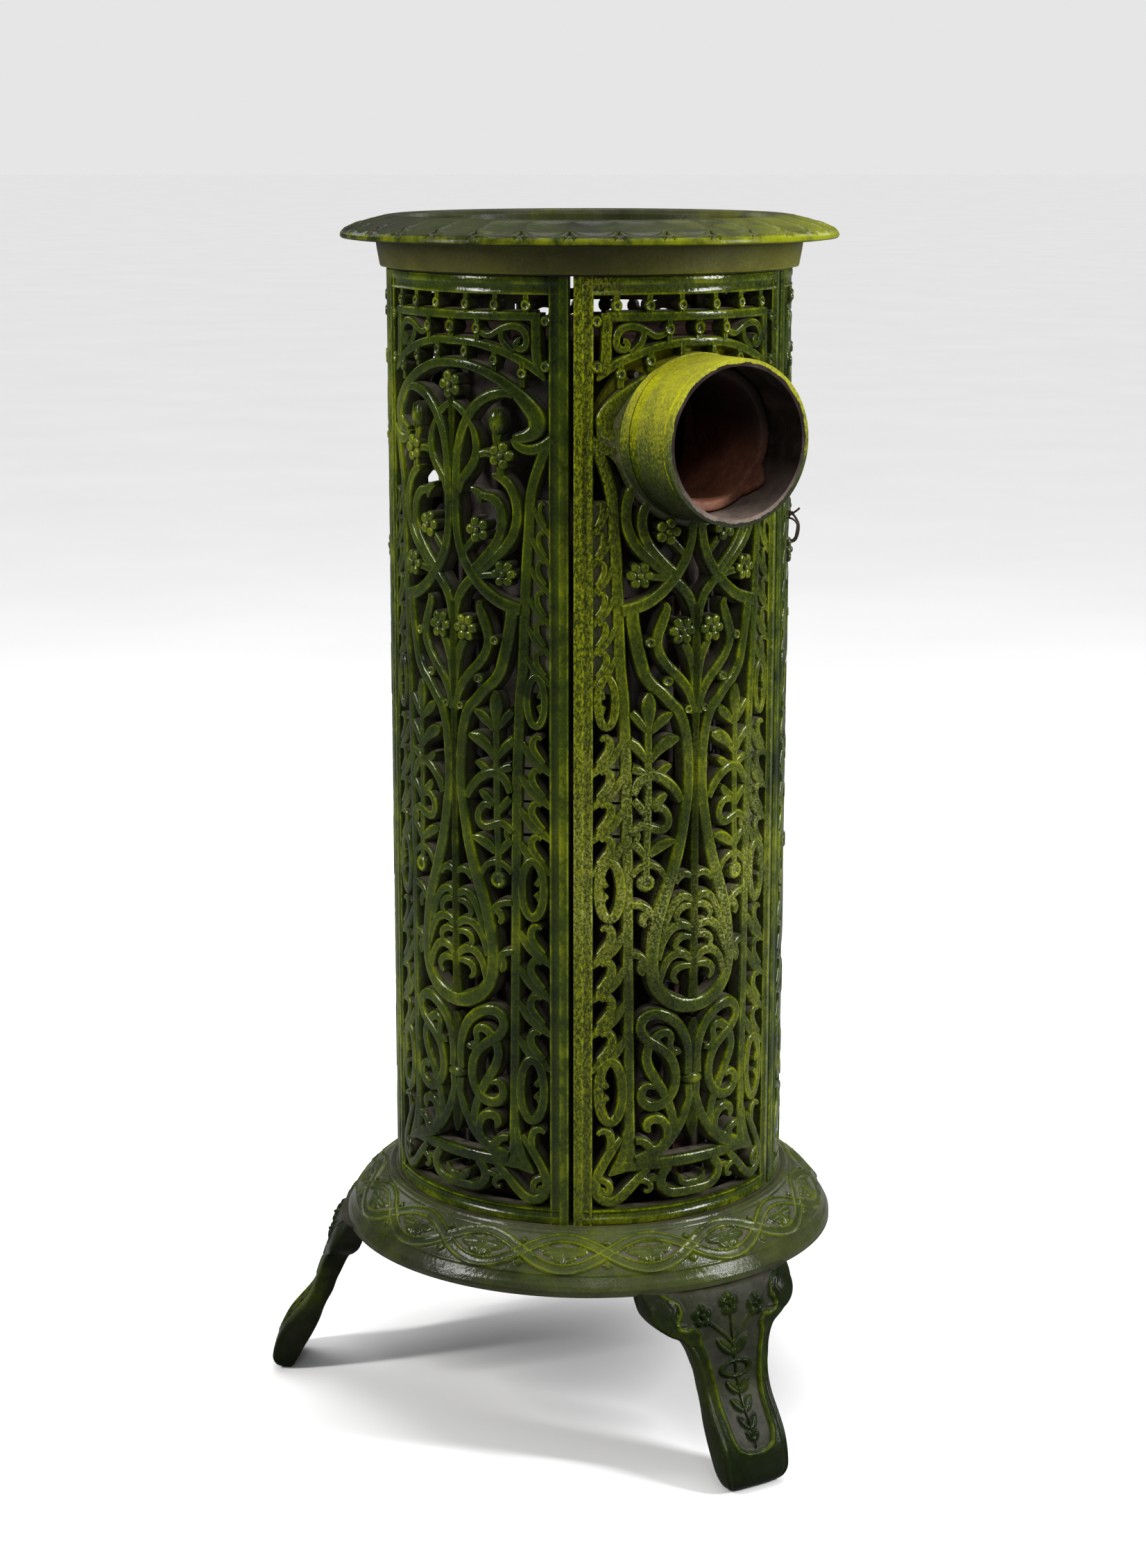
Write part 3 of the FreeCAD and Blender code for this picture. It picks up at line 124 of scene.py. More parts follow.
('c_h',0.6,[(70.6,57,5),(68.8,65,5.8),(69,72,6),(72,77,5.4),(76.5,77.5,4.4),(79.5,75,2.5)]),
]
STUD=[(15, 717.5, 4.2, 4.8), (41, 717.5, 4.2, 4.8), (66.2, 717.5, 4.2, 4.8), (0, 700.5, 5.6, 6), (25, 699.8, 4.2, 5), (14, 682.5, 3.6, 5), (40, 676.8, 4, 4.8), (63, 667.3, 4.2, 4.6), (81.3, 706, 4, 4.4), (81, 672.5, 4, 4.6), (25, 434.3, 5.2, 4.2), (39.5, 465, 4.6, 4.2), (7.5, 411.5, 4, 3.6), (41.8, 277.3, 7.4, 7.2)]
POST=[(15, 711, 727, 5), (41, 711, 727, 5), (66.2, 711, 727, 5), (0, 692, 707, 6), (25, 689, 707, 5), (14, 675, 690, 5), (40, 669, 685, 5), (63, 657, 676, 5)]
FLW=[(0, 657, 11, 5, 90), (46, 605.8, 10.5, 5, 54), (25.5, 549, 10.5, 5, 90), (47.8, 516.5, 10.5, 6, 90), (13.3, 472.8, 11.3, 6, 90)]
BUD=(42, 631, 7.2, 10.8)
CLASP=(0, 114.8, 9.2, 5.2)
HOOK=[243, 215, 186.5, 158, 392.5, 366.5, 340.5, 314, 572, 549.5, 527.5, 504, 481, 458]
LOOP=[(69.4,109.6,12.4,29.6,7.2,20),(70.4,272,11.4,27,6.6,18),(73.2,419.5,9,22.6,5,15.4)]


# ------------------------------------------------------------------ mesh bin
class Bin:
    """Collects points, faces and a 0..1 'crest' value per point (1 on raised edges, 0 in recesses)."""

    def __init__(self):
        self.v, self.f, self.c, self.n = [], [], [], 0

    def add(self, v, f, c):
        v = np.asarray(v, float)
        self.v.append(v)
        self.c.append(np.broadcast_to(np.asarray(c, float), (len(v),)).copy())
        for q in f:
            self.f.append([i + self.n for i in q])
        self.n += len(v)

    def grid(self, P, c, close_u=False, close_v=False, flip=False):
        """P is (rows, cols, 3)."""
        a, b = P.shape[:2]
        f = []
        for i in range(a if close_u else a - 1):
            i2 = (i + 1) % a
            for j in range(b if close_v else b - 1):
                j2 = (j + 1) % b
                q = [i * b + j, i * b + j2, i2 * b + j2, i2 * b + j]
                f.append(q[::-1] if flip else q)
        self.add(P.reshape(-1, 3), f, np.asarray(c, float).reshape(-1) if np.ndim(c) else c)

    def make(self, name, mat, body, slot, replaces=None, sharp=38.0, smooth=True):
        me = bpy.data.meshes.new(name)
        V = np.vstack(self.v) / 1000.0
        me.from_pydata(V.tolist(), [], self.f)
        me.validate(clean_customdata=False)
        at = me.attributes.new("crest", "FLOAT", "POINT")
        at.data.foreach_set("value", np.concatenate(self.c).astype(np.float32))
        me.update()
        if smooth:
            me.polygons.foreach_set("use_smooth", [True] * len(me.polygons))
            me.set_sharp_from_angle(angle=rad(sharp))
        me.materials.append(mat)
        ob = bpy.data.objects.new(name, me)
        bpy.context.scene.collection.objects.link(ob)
        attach(ob, body)
        if replaces:
            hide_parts(*([replaces] if isinstance(replaces, str) else replaces))
        return ob


def spline(P, n=8):
    P = np.array(P, float)
    if len(P) == 2:
        t = np.linspace(0, 1, n)[:, None]
        return P[0] * (1 - t) + P[1] * t
    d = np.sqrt(np.hypot(*(P[1:, :2] - P[:-1, :2]).T)) + 1e-9
    t = np.concatenate([[0], np.cumsum(d)])
    m = np.zeros_like(P)
    for i in range(len(P)):
        if i == 0:
            m[i] = (P[1] - P[0]) / (t[1] - t[0])
        elif i == len(P) - 1:
            m[i] = (P[-1] - P[-2]) / (t[-1] - t[-2])
        else:
            a = (P[i] - P[i - 1]) / (t[i] - t[i - 1]); b = (P[i + 1] - P[i]) / (t[i + 1] - t[i]); h0 = t[i] - t[i - 1]; h1 = t[i + 1] - t[i]
            m[i] = (a * h1 + b * h0) / (h0 + h1)
    out = []
    for i in range(len(P) - 1):
        h = t[i + 1] - t[i]
        s = np.linspace(0, 1, n, endpoint=(i == len(P) - 2))[:, None]
        out.append((2 * s**3 - 3 * s**2 + 1) * P[i] + (s**3 - 2 * s**2 + s) * h * m[i] + (-2 * s**3 + 3 * s**2) * P[i + 1] + (s**3 - s**2) * h * m[i + 1])
    return np.vstack(out)


def resample(C, step):
    d = np.hypot(*(np.diff(C[:, :2], axis=0)).T)
    s = np.concatenate([[0], np.cumsum(d)])
    keep = np.concatenate([[True], np.diff(s) > 1e-6])
    n = max(3, int(round(s[-1] / step)) + 1)
    t = np.linspace(0, s[-1], n)
    return np.stack([np.interp(t, s[keep], C[keep, k]) for k in range(C.shape[1])], 1)


def wrap(P, angle):
    """(along the arc, above the foot, height over R) -> row frame, on the casing's cylinder."""
    th = rad(angle) + P[..., 0] / R
    r = R + P[..., 2]
    return np.stack([r * np.cos(th), r * np.sin(th) + YS, FOOT + P[..., 1]], -1)


# cross-section of a scroll: side, fine raised edge, hollow middle
SEC_T = np.array([-0.90, -1.0, -1.0, -1.0, -0.92, -0.76, -0.45, 0.0, 0.45, 0.76, 0.92, 1.0, 1.0, 1.0, 0.90])
SEC_X = np.array([-0.6, -0.85, -0.75, -0.30, 0.0, 0.0, 0.0, 0.0, 0.0, 0.0, 0.0, 0.30, 0.75, 0.85, 0.6])
SEC_H = np.array([-13.2, -12.6, -6.0, -2.9, -1.35, -0.42, -0.02, -0.12, -0.02, -0.42, -1.35, -2.9, -6.0, -12.6, -13.2])
SEC_C = np.array([0.0, 0.0, 0.04, 0.26, 0.62, 0.90, 0.62, 0.48, 0.62, 0.90, 0.62, 0.26, 0.04, 0.0, 0.0])


def section(w, top):
    """Heights of the section's points for a scroll of width w (array) whose crest is at top."""
    k = np.clip(w / 8.0, 0.28, 1.15)[:, None]
    H = SEC_H[None]
    fine = np.clip(H, -3, 0) * k
    deep = np.where(H < -5, H - top, 0)
    return top + np.where(H < -5, deep, fine)


def stroke(bin_, P, top, panel, mirror=1, step=2.4, ends=True, closed=False, mask=None, fat=1.09):
    C = resample(spline(P, 10), step)
    if closed:
        C = C[:-1]
        T = np.roll(C[:, :2], -1, 0) - np.roll(C[:, :2], 1, 0)
    else:
        T = np.gradient(C[:, :2], axis=0)
    T = T / (np.linalg.norm(T, axis=1)[:, None] + 1e-9)
    N = np.stack([-T[:, 1], T[:, 0]], 1)
    w = np.maximum(C[:, 2] * fat + (0.35 if fat > 1 else 0.0), 0.9)
    H = section(w, top)
    off = SEC_T[None] * w[:, None] / 2 + SEC_X[None] * np.clip(w / 6.0, .35, 1.0)[:, None]
    U = C[:, None, 0] + N[:, None, 0] * off
    Vv = C[:, None, 1] + N[:, None, 1] * off
    G = np.stack([U * mirror, Vv, H], -1)
    crest = np.broadcast_to(SEC_C, H.shape).copy()
    runs = [(0, len(C))]
    if mask is not None:
        ok = mask(C[:, 0] * mirror, C[:, 1])
        runs, i = [], 0
        while i < len(C):
            if ok[i]:
                j = i
                while j < len(C) and ok[j]:
                    j += 1
                if j - i > 2:
                    runs.append((i, j))
                i = j
            else:
                i += 1
        closed = closed and len(runs) == 1 and runs[0] == (0, len(C))
    for i, j in runs:
        Q = wrap(G[i:j], panel)
        a, b = Q.shape[:2]
        f = []
        for r0 in range(a if closed else a - 1):
            r1 = (r0 + 1) % a
            for c0 in range(b):
                c1 = (c0 + 1) % b
                q = [r0 * b + c0, r0 * b + c1, r1 * b + c1, r1 * b + c0]
                f.append(q if mirror > 0 else q[::-1])
        if not closed:
            e0, e1 = list(range(b)), [(a - 1) * b + k for k in range(b)]
            f.append(e0[::-1] if mirror > 0 else e0)
            f.append(e1 if mirror > 0 else e1[::-1])
        bin_.add(Q.reshape(-1, 3), f, crest[i:j].reshape(-1))


def dome(bin_, u, v, prof, panel, mirror=1, a=1.0, b=1.0, rot=0.0, n=20):
    """A turned button: prof is a list of (radius 0..1, height, crest), from the middle outwards."""
    t = np.linspace(0, 2 * pi, n, endpoint=False)
    rows, cr = [], []
    for r, h, c in prof:
        x, y = r * a * np.cos(t), r * b * np.sin(t)
        U = u + x * cos(rot) - y * sin(rot)
        W = v + x * sin(rot) + y * cos(rot)
        rows.append(np.stack([U * mirror, W, np.full(n, h)], -1))
        cr.append(np.full(n, c))
    G = wrap(np.array(rows), panel)
    bin_.grid(G, np.array(cr), close_v=True, flip=(mirror > 0))
    k = len(bin_.v)
    base = bin_.n - n
    bin_.f.append([base + i for i in (range(n) if mirror < 0 else reversed(range(n)))][::-1])
    m = len(prof) * n
    top = bin_.n - m
    bin_.f.append([top + i for i in (range(n) if mirror > 0 else reversed(range(n)))])


def bar(bin_, prof, v0, v1, panel, axis="v", n=2, taper=0.0):
    """A straight bar of the frame. prof: (position across, height, crest), closed by itself."""
    m = len(prof)
    P = np.array(prof, float)
    L = np.linspace(v0, v1, n)
    rows = []
    for k, s in enumerate(L):
        if axis == "v":
            rows.append(np.stack([P[:, 0], np.full(m, s), P[:, 1]], -1))
        else:
            rows.append(np.stack([np.full(m, s), P[:, 0], P[:, 1]], -1))
    G = wrap(np.array(rows), panel)
    a, b = G.shape[:2]
    f = []
    flip = (axis == "v")
    for i in range(a - 1):
        for j in range(b):
            j2 = (j + 1) % b
            q = [i * b + j, i * b + j2, (i + 1) * b + j2, (i + 1) * b + j]
            f.append(q[::-1] if flip else q)
    e0, e1 = list(range(b)), [(a - 1) * b + k for k in range(b)]
    f.append(e0 if flip else e0[::-1])
    f.append(e1[::-1] if flip else e1)
    bin_.add(G.reshape(-1, 3), f, np.tile(P[:, 2], a))


# ------------------------------------------------------ relief on a surface
def seg_dist(X, Y, pts):
    """Distance and width at the nearest point of a polyline of (x, y, w)."""
    best = np.full(X.shape, 1e9)
    wid = np.zeros(X.shape)
    along = np.zeros(X.shape)
    tot = 0.0
    for (x0, y0, w0), (x1, y1, w1) in zip(pts[:-1], pts[1:]):
        dx, dy = x1 - x0, y1 - y0
        L2 = dx * dx + dy * dy + 1e-9
        t = np.clip(((X - x0) * dx + (Y - y0) * dy) / L2, 0, 1)
        d = np.hypot(X - x0 - t * dx, Y - y0 - t * dy)
        m = d < best
        best = np.where(m, d, best)
        wid = np.where(m, w0 + (w1 - w0) * t, wid)
        along = np.where(m, tot + t * math.sqrt(L2), along)
        tot += math.sqrt(L2)
    return best, wid, along


def raised(X, Y, pts, h, soft=1.0, hollow=0.0):
    """Height of a raised stroke."""
    d, w, _ = seg_dist(X, Y, pts)
    x = d / np.maximum(w / 2, 0.2)
    z = h * np.sqrt(np.clip(1 - x**2, 0, 1)) if not hollow else h * np.clip((1 - x) * np.maximum(w, 1) / 2 / soft, 0, 1) - hollow * np.clip(1 - (x / 0.62)**2, 0, 1)
    return np.where(x < 1, np.maximum(z, 0), 0)


def blob(X, Y, x, y, a, b, rot, h):
    c, s = cos(rot), sin(rot)
    p = ((X - x) * c + (Y - y) * s) / a
    q = (-(X - x) * s + (Y - y) * c) / b
    return h * np.sqrt(np.clip(1 - p * p - q * q, 0, 1))


def leaf_h(X, Y, x, y, L, W, rot, h):
    """A pointed leaf from its stem end, with a midrib groove."""
    c, s = cos(rot), sin(rot)
    p = ((X - x) * c + (Y - y) * s) / L
    q = (-(X - x) * s + (Y - y) * c)
    half = W / 2 * np.sin(pi * np.clip(p, 0, 1))**0.8
    inside = (p > 0) & (p < 1) & (np.abs(q) < half)
    e = np.clip(1 - np.abs(q) / np.maximum(half, 1e-3), 0, 1)
    z = h * np.clip(e * 2.2, 0, 1) - 0.45 * h * np.exp(-(q / 0.55)**2)
    return np.where(inside, np.maximum(z, 0.0), 0)


def in_poly(X, Y, poly):
    ins = np.zeros(X.shape, bool)
    n = len(poly)
    for i in range(n):
        x0, y0 = poly[i][0], poly[i][1]
        x1, y1 = poly[(i + 1) % n][0], poly[(i + 1) % n][1]
        cond = (y0 > Y) != (y1 > Y)
        xs = (x1 - x0) * (Y - y0) / (y1 - y0 + 1e-12) + x0
        ins ^= cond & (X < xs)
    return ins


def arc_table(profile):
    P = np.array(profile, float)
    s = np.concatenate([[0], np.cumsum(np.hypot(*np.diff(P, axis=0).T))])
    return P, s


def lathe(bin_, profile, steps, ntheta, relief=None, a0=0.0, a1=360.0, crest=0.4, smooth=True):
    """Turns an (r, z) outline about the casing axis; relief(theta, s) gives a height along the normal."""
    P, s = arc_table(profile)
    S = np.linspace(0, s[-1], steps)
    if smooth:
        Q = spline(np.column_stack([P, np.zeros(len(P))]), 12)
        sq = np.concatenate([[0], np.cumsum(np.hypot(*np.diff(Q[:, :2], axis=0).T))])
        sq *= s[-1] / sq[-1]
        rr, zz = np.interp(S, sq, Q[:, 0]), np.interp(S, sq, Q[:, 1])
    else:
        S = np.unique(np.concatenate([S, s]))
        rr, zz = np.interp(S, s, P[:, 0]), np.interp(S, s, P[:, 1])
    dr, dz = np.gradient(rr, S), np.gradient(zz, S)
    L = np.hypot(dr, dz) + 1e-9
    nr, nz = -dz / L, dr / L
    full = abs(a1 - a0 - 360) < 1e-6
    th = np.radians(np.linspace(a0, a1, ntheta, endpoint=not full))
    TH, SS = np.meshgrid(th, S, indexing="ij")
    H = relief(TH, SS) if relief else np.zeros_like(TH)
    if isinstance(H, tuple):
        H, C = H
    else:
        C = np.full(H.shape, crest)
    RR, ZZ = rr[None] - nr[None] * 0 + nr[None] * H, zz[None] + nz[None] * H
    G = np.stack([RR * np.cos(TH), RR * np.sin(TH) + YS, ZZ], -1)
    bin_.grid(G, C, close_u=full, flip=False)


# ------------------------------------------------------------- the openwork
def upright(v):
    P = [(p[0] + p[2] / 2, p[1]) for n, hh, pp in ST if n == "bar" for p in pp]
    P = sorted(P, key=lambda q: q[1])
    return float(np.interp(v, [q[1] for q in P], [q[0] for q in P]))


def leafcell(h):
    u0, u1 = upright(h - 14), BIN + .4
    w = u1 - u0
    sc = (28 if h < 300 else (26 if h < 440 else 23)) / 28.
    blade = [(u0 - 1.5, h - 5 * sc, 3), (u0 + w * .10, h - 11.5 * sc, 6.4 * w / 21), (u0 + w * .36, h - 18.5 * sc, 8.2 * w / 21), (u0 + w * .68, h - 24.5 * sc, 7.6 * w / 21), (u1 + 1, h - 32 * sc, 3)]
    hook = [(u0 + w * .80, h - 22 * sc, 3.6 * w / 21), (u0 + w * .56, h - 16.5 * sc, 5.2 * w / 21), (u0 + w * .38, h - 10.5 * sc, 5.8 * w / 21), (u0 + w * .36, h - 5 * sc, 5.6 * w / 21), (u0 + w * .46, h - 1.2 * sc, 4.6 * w / 21), (u0 + w * .60, h - .4 * sc, 3.2 * w / 21), (u0 + w * .70, h - 2.4 * sc, 1.8)]
    return blade, hook


def row_ground(b, A, m, mask=None):
    """The sunken ground behind the leaf rows: whole above the first loop, half open below it."""
    loops = sorted(q[1] for q in LOOP)
    top = [h for h in HOOK if h > loops[2]]
    mid = [h for h in HOOK if loops[1] < h < loops[2]]

    def strip(vs, lo, hi):
        rows = []
        for v, a, c in zip(vs, lo, hi):
            rows.append([(m * a, v, -9.0), (m * a, v, -3.0), (m * (a * .7 + c * .3), v, -3.7), (m * (a * .3 + c * .7), v, -3.7), (m * c, v, -3.0), (m * c, v, -9.0)])
        G = wrap(np.array(rows), A)
        b.grid(G, np.tile([0, .07, .09, .09, .07, 0], (len(vs), 1)), close_v=True, flip=m < 0)

    vs = np.linspace(min(top) - 32, max(top) + 1, 60)
    if mask is not None:
        vs = vs[np.hypot(np.array([upright(v) for v in vs]), vs - 619.1) > 66]
    strip(vs, [upright(v) + .5 for v in vs], [BIN + .6] * len(vs))
    for h in mid:
        _, hk = leafcell(h)
        hk = sorted(hk, key=lambda q: q[1])
        vs = np.linspace(hk[0][1] - 4, hk[-1][1], 14)
        strip(vs, [upright(v) + .5 for v in vs], [float(np.interp(v, [q[1] for q in hk], [q[0] for q in hk])) for v in vs])


STUD_PROF = [(0.12, -0.9, 0.15), (0.34, -0.6, 0.5), (0.52, 0.35, 1.0), (0.72, 0.55, 1.0), (0.9, -0.2, 0.6), (1.0, -1.6, 0.3), (1.0, -12.6, 0.03), (0.85, -13.2, 0.0)]
BUD_PROF = [(0.08, 1.7, 0.9), (0.35, 1.55, 0.8), (0.62, 1.0, 0.7), (0.84, 0.0, 0.5), (1.0, -2.2, 0.25), (1.0, -12.6, 0.03), (0.85, -13.2, 0.0)]
PETAL = [(0.1, 1.45, 0.8), (0.4, 1.40, 0.8), (0.66, 1.15, 1.0), (0.84, 0.55, 0.85), (1.0, -0.7, 0.35), (1.0, -12.4, 0.03), (0.85, -13.0, 0.0)]
BOSS = [(0.1, 2.0, 1.0), (0.4, 1.9, 1.0), (0.7, 1.4, 0.85), (0.95, 0.5, 0.4), (1.0, -1.0, 0.1), (0.8, -5, 0.0)]


def shift(prof, dz):
    return [(r, h + (dz if h > -10 else 0), c) for r, h, c in prof]


def flower(b, u, v, Rf, k, ph, panel, m):
    dome(b, u, v, [(0.2, 0.2, 0.1), (0.7, 0.1, 0.1), (1.0, -1.2, 0.1), (1.0, -12.8, 0.0), (0.9, -13.2, 0.0)], panel, m, Rf * .62, Rf * .62)
    for i in range(int(k)):
        a = rad(ph) + 2 * pi * i / k + pi / 2
        dome(b, u + .62 * Rf * cos(a), v + .62 * Rf * sin(a), shift(PETAL, .5), panel, m, Rf * .40, Rf * (.36 if k > 5 else .42), a, 16)
    dome(b, u, v, [(1.0, 1.0, 0.0), (1.0, -3.0, 0.0)], panel, m, Rf * .36, Rf * .36, 0, 14)
    dome(b, u, v, shift(BOSS, 1.3), panel, m, Rf * .27, Rf * .27, 0, 14)


SIDE_PROF = [(83.6, -13.4, 0.0), (83.6, -2.4, 0.25), (83.9, -0.75, 0.8), (84.7, -0.1, 1.0), (85.6, -0.5, 0.55), (86.6, -1.1, 0.46), (90.4, -1.25, 0.46),
             (91.2, -0.8, 0.6), (91.9, 0.0, 1.0), (92.8, -0.05, 0.85), (96.6, -0.35, 0.6), (97.9, -0.7, 0.95), (98.6, -1.6, 0.7), (98.83, -3.0, 0.25), (98.83, -14.0, 0.0)]
FOOT_PROF = [(0.0, -14.0, 0.0), (0.0, -2.4, 0.4), (0.5, -0.8, 0.95), (1.6, -0.15, 0.9), (5.4, 0.0, 0.75), (6.2, -0.6, 0.5), (7.2, -1.2, 0.46), (10.0, -1.2, 0.46), (11.2, -0.35, 0.95), (12.1, -0.6, 0.9), (12.6, -2.2, 0.4), (12.6, -13.4, 0.0)]
HEAD_PROF = [(725.0, -13.4, 0.0), (725.0, -2.2, 0.4), (725.4, -0.7, 0.9), (726.3, -0.3, 0.9), (727.6, -1.2, 0.46), (732.0, -1.2, 0.46), (733.4, -0.4, 0.85), (737.0, -0.3, 0.6), (738.3, -0.8, 0.9), (738.9, -2.4, 0.4), (738.9, -14.0, 0.0)]

ARCH_OUT = [(0, 676.6), (15, 675.8), (30, 672.0), (45, 665.8), (58, 657.9), (68, 649.6), (77, 640.9), (81.5, 631.9), (83, 622), (80, 613.5), (72, 608.5)]


def collar_mask(lim):
    return lambda u, v: np.hypot(u, v - 619.1) > lim


def build_panel(node):
    """Every piece of one panel's casting, in one mesh. Returns the bin."""
    A = PANELS[node]
    door_ = node.startswith("door")
    lo, hi = (1.3, 738.3) if door_ else (0.05, 738.85)
    b = Bin()
    back = node == "panel_back"
    mask = collar_mask(60.5) if back else None
    for m in (1, -1):
        for i, (name, h, pts) in enumerate(ST):
            if back and name in ("sepal", "f1s", "f1t", "stem0"):
                continue
            stroke(b, pts, -0.9 + 0.8 * h + 0.012 * (i % 7), A, m, mask=mask, fat=1.0 if name == "bar" else 1.09)
        for hk in HOOK:
            bl, k = leafcell(hk)
            stroke(b, bl, -0.75, A, m, mask=mask)
            stroke(b, k, -0.25, A, m, mask=mask)
        row_ground(b, A, m, mask)
        for (u, v, a, bb, ai, bi) in LOOP:
            t = np.linspace(0, 2 * pi, 28)
            w = (a - ai + bb - bi) / 2
            stroke(b, [(u + (a + ai) / 2 * cos(s), v + (bb + bi) / 2 * sin(s), w) for s in t], 0.0, A, m, closed=True)
            r = u + ai
            for s in (1, -1):
                stroke(b, [(r + 1.5, v + s * bi * .68, 5), (r - 1, v + s * bi * .38, 5), (r - 3.6 * ai / 7, v + s * bi * .24, 4), (r - 5.6 * ai / 7, v + s * bi * .3, 2)], -0.4, A, m)
        for j, (u, v, a, bb) in enumerate(STUD):
            if back and math.hypot(u, v - 619.1) < 66:
                continue
            dome(b, u, v, shift(STUD_PROF, .25), A, m, a, bb, 0, 18)
        if not back:
            dome(b, BUD[0], BUD[1], shift(BUD_PROF, .3), A, m, BUD[2], BUD[3])
            for s in (-1, 0, 1):
                stroke(b, [(BUD[0] + s * 1.6, BUD[1] - BUD[3] * .8, 1.1), (BUD[0] + s * 3.2, BUD[1], 1.7), (BUD[0] + s * 1.5, BUD[1] + BUD[3] * .85, .9)], 1.9 - .5 * abs(s), A, m, 1.6)
        for (u, v, Rf, k, ph) in FLW:
            if m < 0 and u == 0:
                continue
            if back and math.hypot(u, v - 619.1) < 74:
                continue
            flower(b, u, v, Rf, k, ph, A, m)
        for (u, a, c, w) in POST:
            if m < 0 and u == 0:
                continue
            q = w / 2
            bar(b, [(m * (u - q) if m > 0 else m * (u + q), -12.8, 0), (m * u - q, -2.0, .4), (m * u - q + .6, -.7, .9), (m * u, -1.0, .5), (m * u + q - .6, -.7, .9), (m * u + q, -2.0, .4), (m * u + q, -12.8, 0)], a, c, A)
        side = [(m * u, h, c) for u, h, c in SIDE_PROF]
        if m < 0:
            side = side[::-1]
        bar(b, side, lo, hi, A, "v", 40)
    dome(b, CLASP[0], CLASP[1], shift(BUD_PROF, .6), A, 1, CLASP[2], CLASP[3])
    fp = [(max(u, lo), h, c) for u, h, c in FOOT_PROF]
    hp = [(min(u, hi), h, c) for u, h, c in HEAD_PROF]
    bar(b, fp, -HALF + 6, HALF - 6, A, "u", 48)
    bar(b, hp, -HALF + 6, HALF - 6, A, "u", 48)
    if back:
        crescent(b, A)
    return b


def crescent(b, A):
    """The plate that closes the arch round the flue collar."""
    n = 96
    out = np.array([(u, v) for u, v in ARCH_OUT] + [(-u, v) for u, v in ARCH_OUT[::-1]][:-1] , float)
    t = np.linspace(0, 2 * pi, n, endpoint=False)
    rows, cr = [], []
    ang = np.arctan2(out[:, 1] - 619.1, out[:, 0])
    rad_ = np.hypot(out[:, 0], out[:, 1] - 619.1)
    o = np.argsort(ang)
    Ro = np.interp(t, np.concatenate([ang[o] - 2 * pi, ang[o], ang[o] + 2 * pi]), np.tile(rad_[o], 3))
    low = (np.sin(t) < -0.16)
    Ro = np.where(low, np.minimum(Ro, 68.0), Ro)
    Ro = np.convolve(np.concatenate([Ro[-3:], Ro, Ro[:3]]), np.ones(5) / 5, "same")[3:-3]
    Ri = np.full(n, 61.6)
    for k, h, c in ((0.0, -13.2, 0.0), (0.0, 3.0, 0.5), (0.16, 1.3, 0.3), (0.34, -0.3, 0.15), (0.6, -1.2, 0.12), (0.84, -1.0, 0.2), (0.96, -0.9, .5), (1.0, -1.8, .4), (1.0, -12.8, 0.0)):
        r = Ri + (Ro - Ri) * k
        rows.append(np.stack([r * np.cos(t), 619.1 + r * np.sin(t), np.full(n, h)], -1))
        cr.append(np.full(n, c))
    G = wrap(np.array(rows), A)
    b.grid(G, np.array(cr), close_v=True, flip=True)


# ---------------------------------------------------------------- base ring
NOV = 17
RING_OUT = [(161.6, 188.7), (163.0, 189.0), (165.5, 189.0), (170, 184.9), (178, 179.7), (187, 172.2), (195, 162.6), (200, 154.2), (202.0, 150.2), (202.2, 148.0), (202.2, 145.4), (196.7, 145.3), (195.2, 148.5), (190, 157.8), (182, 167.3), (173, 174.8), (165, 180.3), (160, 181.8)]


